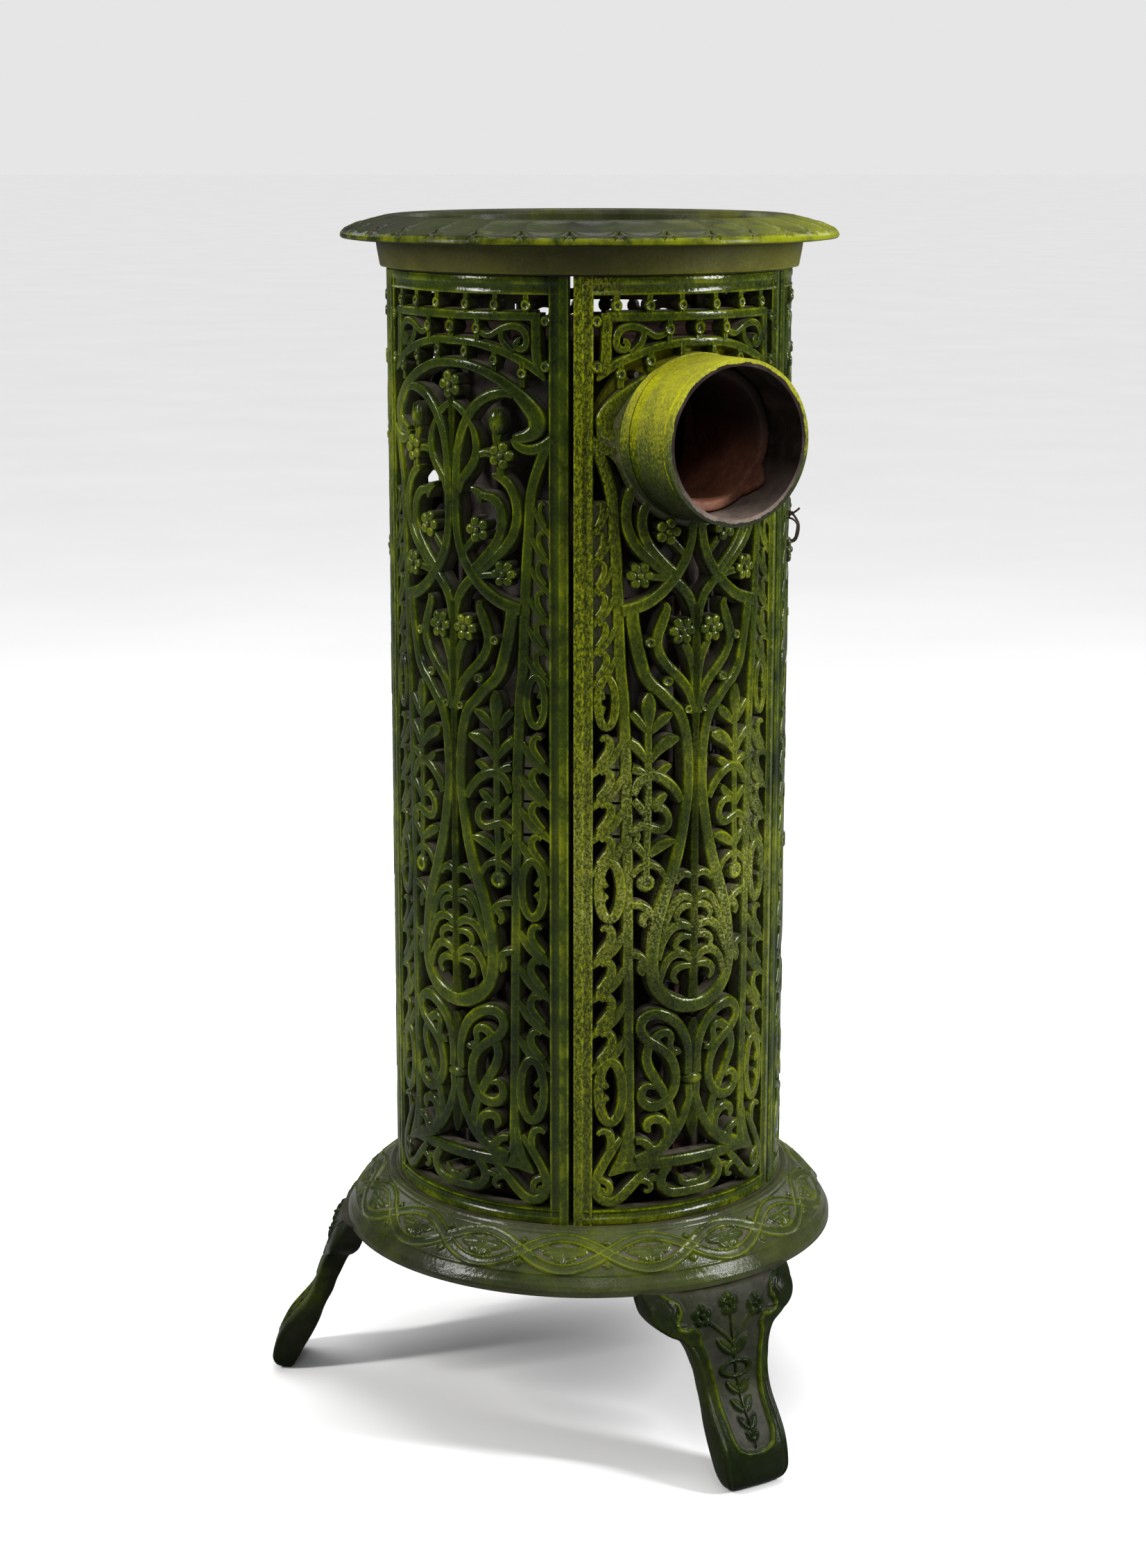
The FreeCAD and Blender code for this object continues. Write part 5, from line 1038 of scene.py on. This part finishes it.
def glaze(name, deep, mid, lime, dust=0.35, film_and_sheen=0.0, film_and_sheen_col=(0.16, 0.19, 0.17), rough=(0.16, 0.42), lift=0.0, speck=0.35, rust=0.25, crust=False, has_crest=True, coat=0.0, spec=0.15, side=None, across=None, up=None):
    """Translucent green enamel over cast iron: dark where it pools, lime where it thins on the ridges; it can also
    carry painted light on one side and on top, and a grey film that is partly a painted sheen.
    """
    k = Nodes(name)
    crest = k.attr() if has_crest else None
    big = k.noise(7.0, 3, .5, .4)
    med = k.noise(38.0, 4, .6, .3)
    fine = k.noise(420.0, 3, .6)
    grit = k.noise(1300.0, 2, .6)
    # how thin the glaze lies; the across and up terms below add painted light to it
    glaze_thin_and_lit = k.math("MULTIPLY_ADD", k.ramp(big, [(0.32, 0.0), (0.68, 1.0)]), 0.40, -0.17 + lift)
    glaze_thin_and_lit = k.math("MULTIPLY_ADD", k.ramp(med, [(0.30, 0.0), (0.75, 1.0)]), 0.26, glaze_thin_and_lit)
    if across:
        # painted light: the enamel is drawn darker on one side of the piece and lighter towards its lit side
        o = k.sep("Object")
        painted_light_run = k.math("ADD", k.math("MULTIPLY", o[0], across[0]), k.math("MULTIPLY", o[1], across[1]))
        glaze_thin_and_lit = k.math("MULTIPLY_ADD", k.ramp(painted_light_run, [(across[2], 0.0), (across[3], 1.0)]), across[4], glaze_thin_and_lit)
    # painted light: the top of the piece is drawn lighter
    if up:
        glaze_thin_and_lit = k.math("MULTIPLY_ADD", k.ramp(k.sep("Object")[2], [(up[0], 0.0), (up[1], 1.0)]), up[2], glaze_thin_and_lit)
    if crest is not None:
        uneven = k.ramp(k.noise(48.0, 4, .6, .5), [(0.36, 0.22), (0.62, 1.0)])
        glaze_thin_and_lit = k.math("MULTIPLY_ADD", k.math("MULTIPLY", k.ramp(crest, [(0.0, 0.0), (0.30, 0.14), (0.60, 0.36), (1.0, 1.0)]), uneven), 0.66, glaze_thin_and_lit)
    glaze_thin_and_lit = k.math("MULTIPLY_ADD", k.ramp(fine, [(0.35, 0.0), (0.72, 1.0)]), speck * .5, glaze_thin_and_lit, )
    glaze_thin_and_lit = k.math("SUBTRACT", glaze_thin_and_lit, speck * .22, clamp=True)
    col = k.ramp(glaze_thin_and_lit, [(0.0, deep), (0.34, mid), (0.66, tuple(.5 * (a + b) for a, b in zip(mid, lime))), (1.0, lime)])
    if side:
        # the border next to the seam: thin, lime and finely speckled
        xx = k.sep("Object")
        zone = k.math("MULTIPLY", k.ramp(xx[0], [(side[0], 0.0), (side[1], 1.0)]), k.ramp(xx[2], [(0.20, .35), (0.34, 1.0)]))
        spk = k.ramp(k.noise(560.0, 4, .7, .4, stretch=(1, 1, .6)), [(0.44, 0.0), (0.62, 1.0)])
        col = k.mix(k.math("MULTIPLY", zone, k.math("MULTIPLY_ADD", crest, .45, .40)), col, k.mix(spk, tuple(c * .55 for c in mid), tuple(c * 1.15 for c in lime)))
    # dark pin-holes and speckle
    pin = k.ramp(k.noise(900.0, 2, .5), [(0.28, 0.0), (0.40, 1.0)])
    col = k.mix(k.math("MULTIPLY", k.math("SUBTRACT", 1.0, pin), .55), col, tuple(c * .35 for c in deep))
    # grey film, partly a painted grey sheen, and brown dust in the recesses
    z = k.sep("Normal")[2]
    if film_and_sheen > 0:
        film_sheen_mask = k.math("MULTIPLY", k.ramp(k.noise(16.0, 5, .62, .8), [(0.36, 0.0), (0.66, 1.0)]), film_and_sheen)
        if crest is not None:
            film_sheen_mask = k.math("MULTIPLY", film_sheen_mask, k.ramp(crest, [(0.0, 1.0), (0.7, .45), (1.0, .1)]))
        col = k.mix(film_sheen_mask, col, film_and_sheen_col)
    if crest is not None and dust > 0:
        d = k.ramp(crest, [(0.0, 1.0), (0.10, .90), (0.28, .30), (0.5, 0.0)])
        d = k.math("MULTIPLY", d, k.ramp(k.noise(60.0, 4, .65), [(0.30, .25), (0.65, 1.0)]))
        up = k.math("MULTIPLY_ADD", k.ramp(z, [(0.0, 0.0), (0.9, 1.0)]), .6, .45)
        d = k.math("MULTIPLY", d, k.math("MULTIPLY", up, dust * 1.6), clamp=True)
        col = k.mix(d, col, (0.098, 0.085, 0.064))
    # chips down to rusty iron on edges
    ch = k.math("MULTIPLY", k.ramp(k.noise(95.0, 6, .7, .6), [(0.70, 0.0), (0.735, 1.0)]), rust)
    if crest is not None:
        ch = k.math("MULTIPLY", ch, k.ramp(crest, [(0.35, .15), (0.8, 1.0)]))
    col = k.mix(ch, col, (0.10, 0.040, 0.020))
    if crust:
        # pale granular crust where the enamel has boiled
        xyz = k.sep("Object")
        zone = k.ramp(k.noise(9.0, 3, .6, 1.2), [(0.42, 0.0), (0.60, 1.0)])
        band = k.ramp(xyz[2], [(0.37, 0.0), (0.43, 1.0), (0.53, 1.0), (0.60, 0.0)])
        g = k.math("MULTIPLY", k.math("MULTIPLY", zone, band), k.ramp(k.noise(520.0, 4, .75), [(0.49, 0.0), (0.58, 1.0)]))
        col = k.mix(k.math("MULTIPLY", g, .75), col, (0.34, 0.36, 0.085))
    rg = k.math("MULTIPLY_ADD", k.ramp(k.noise(26.0, 5, .65), [(0.3, 0.0), (0.75, 1.0)]), rough[1] - rough[0], rough[0])
    if crest is not None:
        rg = k.math("ADD", rg, k.ramp(crest, [(0.0, .45), (0.12, .25), (0.3, 0.02), (1.0, 0.0)]))
    rg = k.math("MULTIPLY_ADD", ch, .5, rg, clamp=True)
    k.set(Base_Color=col, Roughness=rg, IOR=1.5, Coat_Weight=coat, Coat_Roughness=0.12, Specular_IOR_Level=spec)
    k.bump([(k.noise(160.0, 4, .6), .35, .0011), (fine, .30, .0005), (grit, .18, .00025)])
    return k.m


def rusty(name, a, b, c, scale=1.0, metal=0.0, rough=(.62, .9), bump=1.0):
    k = Nodes(name)
    n1 = k.noise(14.0 * scale, 6, .68, .9)
    n2 = k.noise(120.0 * scale, 5, .7, .3)
    n3 = k.noise(700.0 * scale, 3, .6)
    col = k.ramp(n1, [(0.30, a), (0.52, b), (0.74, c)])
    col = k.mix(k.ramp(n2, [(0.42, 0.0), (0.70, .65)]), col, tuple(x * .45 for x in a))
    col = k.mix(k.ramp(n3, [(0.5, 0.0), (0.8, .35)]), col, tuple(min(1, x * 1.7) for x in c))
    k.set(Base_Color=col, Metallic=metal, Roughness=k.math("MULTIPLY_ADD", n2, rough[1] - rough[0], rough[0]))
    k.bump([(n1, .35 * bump, .004), (n2, .55 * bump, .0012), (n3, .4 * bump, .0004)])
    return k.m


def metal(name, col, tint, rough=.35, scale=1.0, brushed=None):
    k = Nodes(name)
    n1 = k.noise(30.0 * scale, 5, .6, .5)
    n2 = k.noise(600.0 * scale, 3, .6, stretch=brushed)
    c = k.mix(k.ramp(n1, [(0.35, 0.0), (0.7, 1.0)]), col, tint)
    k.set(Base_Color=c, Metallic=0.9, Roughness=k.math("MULTIPLY_ADD", n1, .35, rough - .1))
    k.bump([(n2, .25, .0003), (n1, .15, .001)])
    return k.m


DEEP, MID, LIME = (0.0070, 0.0135, 0.0004), (0.038, 0.058, 0.0009), (0.240, 0.275, 0.0035)
M_GREEN = glaze("green_glaze", DEEP, MID, LIME, dust=.95, film_and_sheen=.05, film_and_sheen_col=(0.030, 0.033, 0.026), lift=-.07, rough=(.06, .20), spec=.28)
M_GREEN2 = glaze("green_glaze_crusted", (0.007, 0.0125, 0.0005), (0.042, 0.060, 0.0012), (0.255, 0.285, 0.005), dust=.95, film_and_sheen=.03, film_and_sheen_col=(0.030, 0.033, 0.026), lift=-.01, speck=.60, crust=True, side=(.052, .078), rough=(.06, .20), spec=.28)
# painted light: across draws the rim lighter towards one side
M_RIM = glaze("rim_glaze", (0.006, 0.010, 0.002), (0.028, 0.037, 0.004), (0.22, 0.245, 0.006), dust=.5, film_and_sheen=.26, film_and_sheen_col=(0.022, 0.025, 0.017), rough=(.10, .28), speck=.15, spec=.075, across=(-.857, .516, -.02, .16, .46))
# the base's grey film is partly a painted grey sheen on its relief
M_BASE = glaze("base_glaze", (0.008, 0.014, 0.001), (0.040, 0.055, 0.003), (0.150, 0.176, 0.006), dust=.5, film_and_sheen=.42, film_and_sheen_col=(0.050, 0.053, 0.042), rough=(.08, .26), speck=.22, spec=.18)
M_LEG = glaze("leg_glaze", (0.002, 0.005, 0.001), (0.008, 0.0145, 0.002), (0.085, 0.115, 0.003), dust=.3, film_and_sheen=.50, film_and_sheen_col=(0.0060, 0.0072, 0.0072), rough=(.10, .26), speck=.12, rust=.5, spec=.070)
# painted light: across draws the skirt lighter towards one side
M_SKIRT = glaze("skirt_glaze", (0.050, 0.050, 0.003), (0.088, 0.089, 0.005), (0.20, 0.202, 0.010), dust=.3, film_and_sheen=.2, film_and_sheen_col=(0.066, 0.062, 0.022), rough=(.18, .38), speck=.5, spec=.24, across=(-.857, .516, -.10, .16, .30))
# painted light: across and up draw the collar lime towards its top and its lip, dark below
M_COLLAR = glaze("collar_glaze", (0.006, 0.011, 0.0003), (0.038, 0.058, 0.0006), (0.47, 0.47, 0.010), dust=.2, film_and_sheen=.0, rough=(.07, .20), lift=-.54, speck=.7, rust=.8, spec=.14, across=(0.10, 1.0, .100, .170, .16), up=(.750, .852, 1.16))



def collar_sooty():
    """Collar: enamel outside, soot and rust on the inside wall and the chipped lip."""
    m = M_COLLAR
    t = m.node_tree
    k = Nodes.__new__(Nodes)
    k.m, k.t = m, t
    k.bsdf = [n for n in t.nodes if n.type == "BSDF_PRINCIPLED"][0]
    k.co = [n for n in t.nodes if n.type == "TEX_COORD"][0]
    old = k.bsdf.inputs["Base Color"].links[0].from_socket
    oldr = k.bsdf.inputs["Roughness"].links[0].from_socket
    xyz = k.sep("Object")
    dz = k.math("SUBTRACT", xyz[2], FLUE_Z / 1000)
    rr = k.math("SQRT", k.math("ADD", k.math("MULTIPLY", xyz[0], xyz[0]), k.math("MULTIPLY", dz, dz)))
    n = k.noise(70.0, 5, .7, .4)
    edge = k.math("MULTIPLY_ADD", n, .006, 0.0563)
    inside = k.math("LESS_THAN", rr, edge)
    inner = k.math("LESS_THAN", rr, 0.0574)
    soot = k.ramp(k.noise(45.0, 6, .7, .6), [(0.30, (0.006, 0.0045, 0.0035)), (0.52, (0.026, 0.019, 0.015)), (0.72, (0.070, 0.050, 0.040))])
    f = k.math("MAXIMUM", inside, inner)
    # pale dust and scale lying along the bottom of the bore
    low = k.math("MULTIPLY_ADD", dz, -26.0, -.42, clamp=True)
    soot = k.mix(k.math("MULTIPLY", low, k.ramp(k.noise(90.0, 5, .7), [(0.25, .35), (0.6, 1.0)])), soot, (0.24, 0.185, 0.150))
    k.link(k.mix(f, old, soot), k.bsdf.inputs["Base Color"])
    k.link(k.math("MAXIMUM", oldr, k.math("MULTIPLY", f, .85)), k.bsdf.inputs["Roughness"])
    k.bsdf.inputs["Coat Weight"].default_value = .0


collar_sooty()
M_CLAY = rusty("terracotta", (0.105, 0.036, 0.017), (0.23, 0.086, 0.042), (0.34, 0.14, 0.078), 1.2, bump=.35)


def liner_shade():
    """The upper part of the terracotta pipe is drawn near-black: painted shade inside the bore under the collar."""
    m = M_CLAY
    k = Nodes.__new__(Nodes)
    k.m, k.t = m, m.node_tree
    k.bsdf = [n for n in k.t.nodes if n.type == "BSDF_PRINCIPLED"][0]
    k.co = [n for n in k.t.nodes if n.type == "TEX_COORD"][0]
    old = k.bsdf.inputs["Base Color"].links[0].from_socket
    z = k.math("MULTIPLY_ADD", k.noise(30.0, 5, .65, .5), .020, k.sep("Object")[2])
    f = k.ramp(z, [((FLUE_Z - 34) / 1000 + .010, 0.0), ((FLUE_Z + 14) / 1000 + .010, .95)])
    # painted shade: near-black mixed in towards the top of the pipe
    k.link(k.mix(f, old, (0.007, 0.0045, 0.0035)), k.bsdf.inputs["Base Color"])


liner_shade()
M_FIRE = rusty("fireclay", (0.20, 0.13, 0.09), (0.27, 0.19, 0.13), (0.34, 0.25, 0.18), 1.0, bump=.5)
M_DRUM = rusty("drum_rust", (0.014, 0.011, 0.009), (0.034, 0.025, 0.019), (0.075, 0.050, 0.036), 1.0)
M_RED = rusty("red_rust", (0.045, 0.018, 0.011), (0.095, 0.038, 0.022), (0.16, 0.070, 0.040), 1.3)
M_FIX = rusty("fixing_steel", (0.030, 0.022, 0.017), (0.060, 0.042, 0.030), (0.12, 0.09, 0.07), 2.0, metal=.45, rough=(.4, .75), bump=.6)
M_SHEET = rusty("floor_steel", (0.022, 0.016, 0.012), (0.048, 0.034, 0.025), (0.095, 0.07, 0.052), 1.2, metal=.3, rough=(.5, .8), bump=.4)
M_TANK = rusty("tank_paint", (0.012, 0.013, 0.012), (0.020, 0.021, 0.019), (0.045, 0.040, 0.034), 1.5, rough=(.35, .6), bump=.3)
M_BRASS = metal("aged_brass", (0.42, 0.27, 0.085), (0.16, 0.10, 0.045), .38)
M_SPREAD = metal("spreader_steel", (0.26, 0.24, 0.23), (0.13, 0.09, 0.08), .42)
M_WIRE = rusty("wire_iron", (0.020, 0.013, 0.009), (0.055, 0.034, 0.022), (0.11, 0.075, 0.05), 3.0, metal=.5, rough=(.4, .7), bump=.4)


def cotton():
    k = Nodes("wick_cotton")
    w = k.n("ShaderNodeTexWave", wave_type="BANDS", bands_direction="Z")
    k.link(k.co.outputs["Object"], w.inputs["Vector"])
    w.inputs["Scale"].default_value = 380
    w.inputs["Distortion"].default_value = 2.5
    z = k.sep("Object")[2]
    char = k.ramp(k.math("MULTIPLY_ADD", k.noise(300, 3, .6), .006, z), [(0.2625, 0.0), (0.2668, 1.0)])
    c = k.mix(k.ramp(w.outputs["Fac"], [(0.2, 0.0), (0.8, 1.0)]), (0.34, 0.30, 0.22), (0.62, 0.57, 0.45))
    k.set(Base_Color=k.mix(char, c, (0.02, 0.016, 0.014)), Roughness=.95)
    k.bump([(w.outputs["Fac"], .6, .0006), (k.noise(900, 3, .6), .4, .0003)])
    return k.m


M_WICK = cotton()

M_KNOB = glaze("knob_glaze", DEEP, MID, LIME, dust=0, film_and_sheen=.2, lift=.30, has_crest=False)

# ------------------------------------------------------------------- pieces
BODY = {n: b for b, ns in frame["record"]["behaviour"]["bodies"].items() for n in ns}
for node in PANELS:
    mat = M_GREEN2 if node == "panel_back" else M_GREEN
    build_panel(node).make("v_" + node, mat, BODY[node], "green_enamel", node)
build_ring().make("v_base_ring", M_BASE, "casing", "base_enamel", "base_ring", sharp=50)
rim_ob = build_rim().make("v_top_rim", M_RIM, "casing", "rim_enamel", "top_ring", sharp=50)
build_skirt().make("v_rim_skirt", M_SKIRT, "casing", "rim_enamel")
for node, a in (("leg_back", 90.0), ("leg_front_left", 215.0), ("leg_front_right", 325.0)):
    build_leg(a).make("v_" + node, M_LEG, "casing", "leg_enamel", node, sharp=55)
build_collar().make("v_flue_collar", M_COLLAR, "casing", "collar_enamel", sharp=60)
build_liner().make("v_flue_liner", M_CLAY, "casing", "terracotta", "flue_liner", sharp=60)
build_wire().make("v_wire_loop", M_WIRE, "loop", "wire", "wire_loop")

MATS = {"flue_collar": M_COLLAR, "flue_stay": M_RED, "drum_cover": M_RED, "fireclay_ring": M_FIRE, "flue_liner": M_CLAY,
        "drum_lower": M_DRUM, "drum_middle": M_DRUM, "drum_neck": M_DRUM, "drum_upper": M_DRUM, "lid": M_DRUM, "lid_knob": M_DRUM,
        "leg_bolts": M_FIX, "tie_rods": M_FIX, "tie_rod_nuts": M_FIX, "door_pins": M_FIX, "collar_bolts": M_FIX,
        "floor_plate": M_SHEET, "shutter_ring": M_SHEET, "tank": M_TANK, "tank_posts": M_TANK,
        "filler_cap": M_BRASS, "burner_tube": M_BRASS, "burner_gallery": M_BRASS, "wick_spindle": M_BRASS, "wick_knob": M_BRASS,
        "spindle_bush": M_BRASS, "wick_carrier": M_BRASS, "flame_spreader": M_SPREAD, "wick": M_WICK, "wire_loop": M_WIRE,
        "door_knob_left": M_KNOB, "door_knob_right": M_KNOB}
for name, ob in frame["nodes"].items():
    m = MATS.get(name, M_GREEN if name in PANELS else {"base_ring": M_BASE, "top_ring": M_RIM}.get(name, M_LEG))
    for s in ob.material_slots:
        s.material = m

# ------------------------------------------------------------ floor
def floor_piece():
    me = bpy.data.meshes.new("studio_floor")
    n = 96
    V = [(70 * cos(2 * pi * i / n), 70 * sin(2 * pi * i / n), 0) for i in range(n)]
    me.from_pydata(V, [], [tuple(range(n))])
    ob = bpy.data.objects.new("studio_floor", me)
    bpy.context.scene.collection.objects.link(ob)
    k = Nodes("pale_floor")
    c = k.ramp(k.noise(2.0, 3, .5), [(0.3, (0.90, 0.90, 0.90)), (0.7, (0.93, 0.93, 0.93))])
    seen = k.n("ShaderNodeLightPath").outputs["Is Camera Ray"]
    k.set(Base_Color=k.mix(seen, (.20, .20, .20), c), Roughness=.85, Specular_IOR_Level=.2)
    me.materials.append(k.m)
    return ob


floor_piece()

# ------------------------------------------------------------------- camera
cam = bpy.data.cameras.new("camera")
cam.lens, cam.sensor_width, cam.sensor_fit = 67.99, 36.0, "AUTO"
cam.clip_start, cam.clip_end = 0.05, 60
co = bpy.data.objects.new("camera", cam)
bpy.context.scene.collection.objects.link(co)
TH = rad(58.92)
co.location = (2.363 * cos(TH), 2.363 * sin(TH) + YS / 1000, 1.038)
d0 = Vector((-cos(TH), -sin(TH), 0))
right = Vector((d0.y, -d0.x, 0))
dl = rad(0.3132)
look = d0 * cos(dl) - right * sin(dl)
pit = rad(12.594)
look = Vector((look.x * cos(pit), look.y * cos(pit), -sin(pit)))
co.rotation_mode = "QUATERNION"
co.rotation_quaternion = look.to_track_quat("-Z", "Y")
bpy.context.scene.camera = co

# ------------------------------------------------------------------- lights
def area(name, loc, aim, size, power, col=(1, 1, 1), sy=None):
    L = bpy.data.lights.new(name, "AREA")
    L.shape = "RECTANGLE"
    L.size, L.size_y = size, sy or size
    L.energy, L.color = power, col
    ob = bpy.data.objects.new(name, L)
    ob.location = loc
    ob.rotation_mode = "QUATERNION"
    ob.rotation_quaternion = (Vector(aim) - Vector(loc)).to_track_quat("-Z", "Y")
    bpy.context.scene.collection.objects.link(ob)
    return ob


def around(az, dist, z):
    """A place round the heater, az degrees to the right of the camera as the camera sees it."""
    a = TH + rad(az)
    return (dist * cos(a), dist * sin(a) + YS / 1000, z)


AIM = (0, YS / 1000, .5)
area("key_left", around(-68, 2.4, 1.9), AIM, .18, 64, (1, .99, .97), 1.4)
area("key_right", around(70, 2.4, 1.7), AIM, .17, 82, (.99, .99, 1), 1.4)
area("front_fill", around(6, 3.2, 3.0), AIM, .5, 12)
area("far_fill_left", around(-142, 3.4, 2.3), AIM, 1.3, 11)
area("far_fill_right", around(142, 3.4, 2.3), AIM, 1.3, 11)
sun = bpy.data.lights.new("overhead", "SUN")
sun.energy, sun.angle = 1.65, rad(50)
so = bpy.data.objects.new("overhead", sun)
so.rotation_euler = (rad(14), rad(-12), 0)
bpy.context.scene.collection.objects.link(so)
w = bpy.data.worlds.new("studio")
bpy.context.scene.world = w
w.use_nodes = True
wt = w.node_tree
bg = wt.nodes["Background"]
tc = wt.nodes.new("ShaderNodeTexCoord")
sx = wt.nodes.new("ShaderNodeSeparateXYZ")
rp = wt.nodes.new("ShaderNodeValToRGB")
wt.links.new(tc.outputs["Generated"], sx.inputs[0])
wt.links.new(sx.outputs[2], rp.inputs[0])
el = rp.color_ramp.elements
el[0].position, el[0].color = 0.0, (.07, .07, .07, 1)
el[1].position, el[1].color = 0.10, (.08, .08, .08, 1)
for p_, c_ in ((.35, .12), (.70, .34), (1.0, .70)):
    e_ = el.new(p_)
    e_.color = (c_, c_, c_ * 1.02, 1)
lp = wt.nodes.new("ShaderNodeLightPath")
mx = wt.nodes.new("ShaderNodeMix")
mx.data_type = "RGBA"
wt.links.new(lp.outputs["Is Camera Ray"], mx.inputs[0])
wt.links.new(rp.outputs[0], mx.inputs[6])
mx.inputs[7].default_value = (.79, .79, .79, 1)
wt.links.new(mx.outputs[2], bg.inputs[0])
bg.inputs[1].default_value = 1.0
bpy.context.scene.view_settings.view_transform = "Standard"
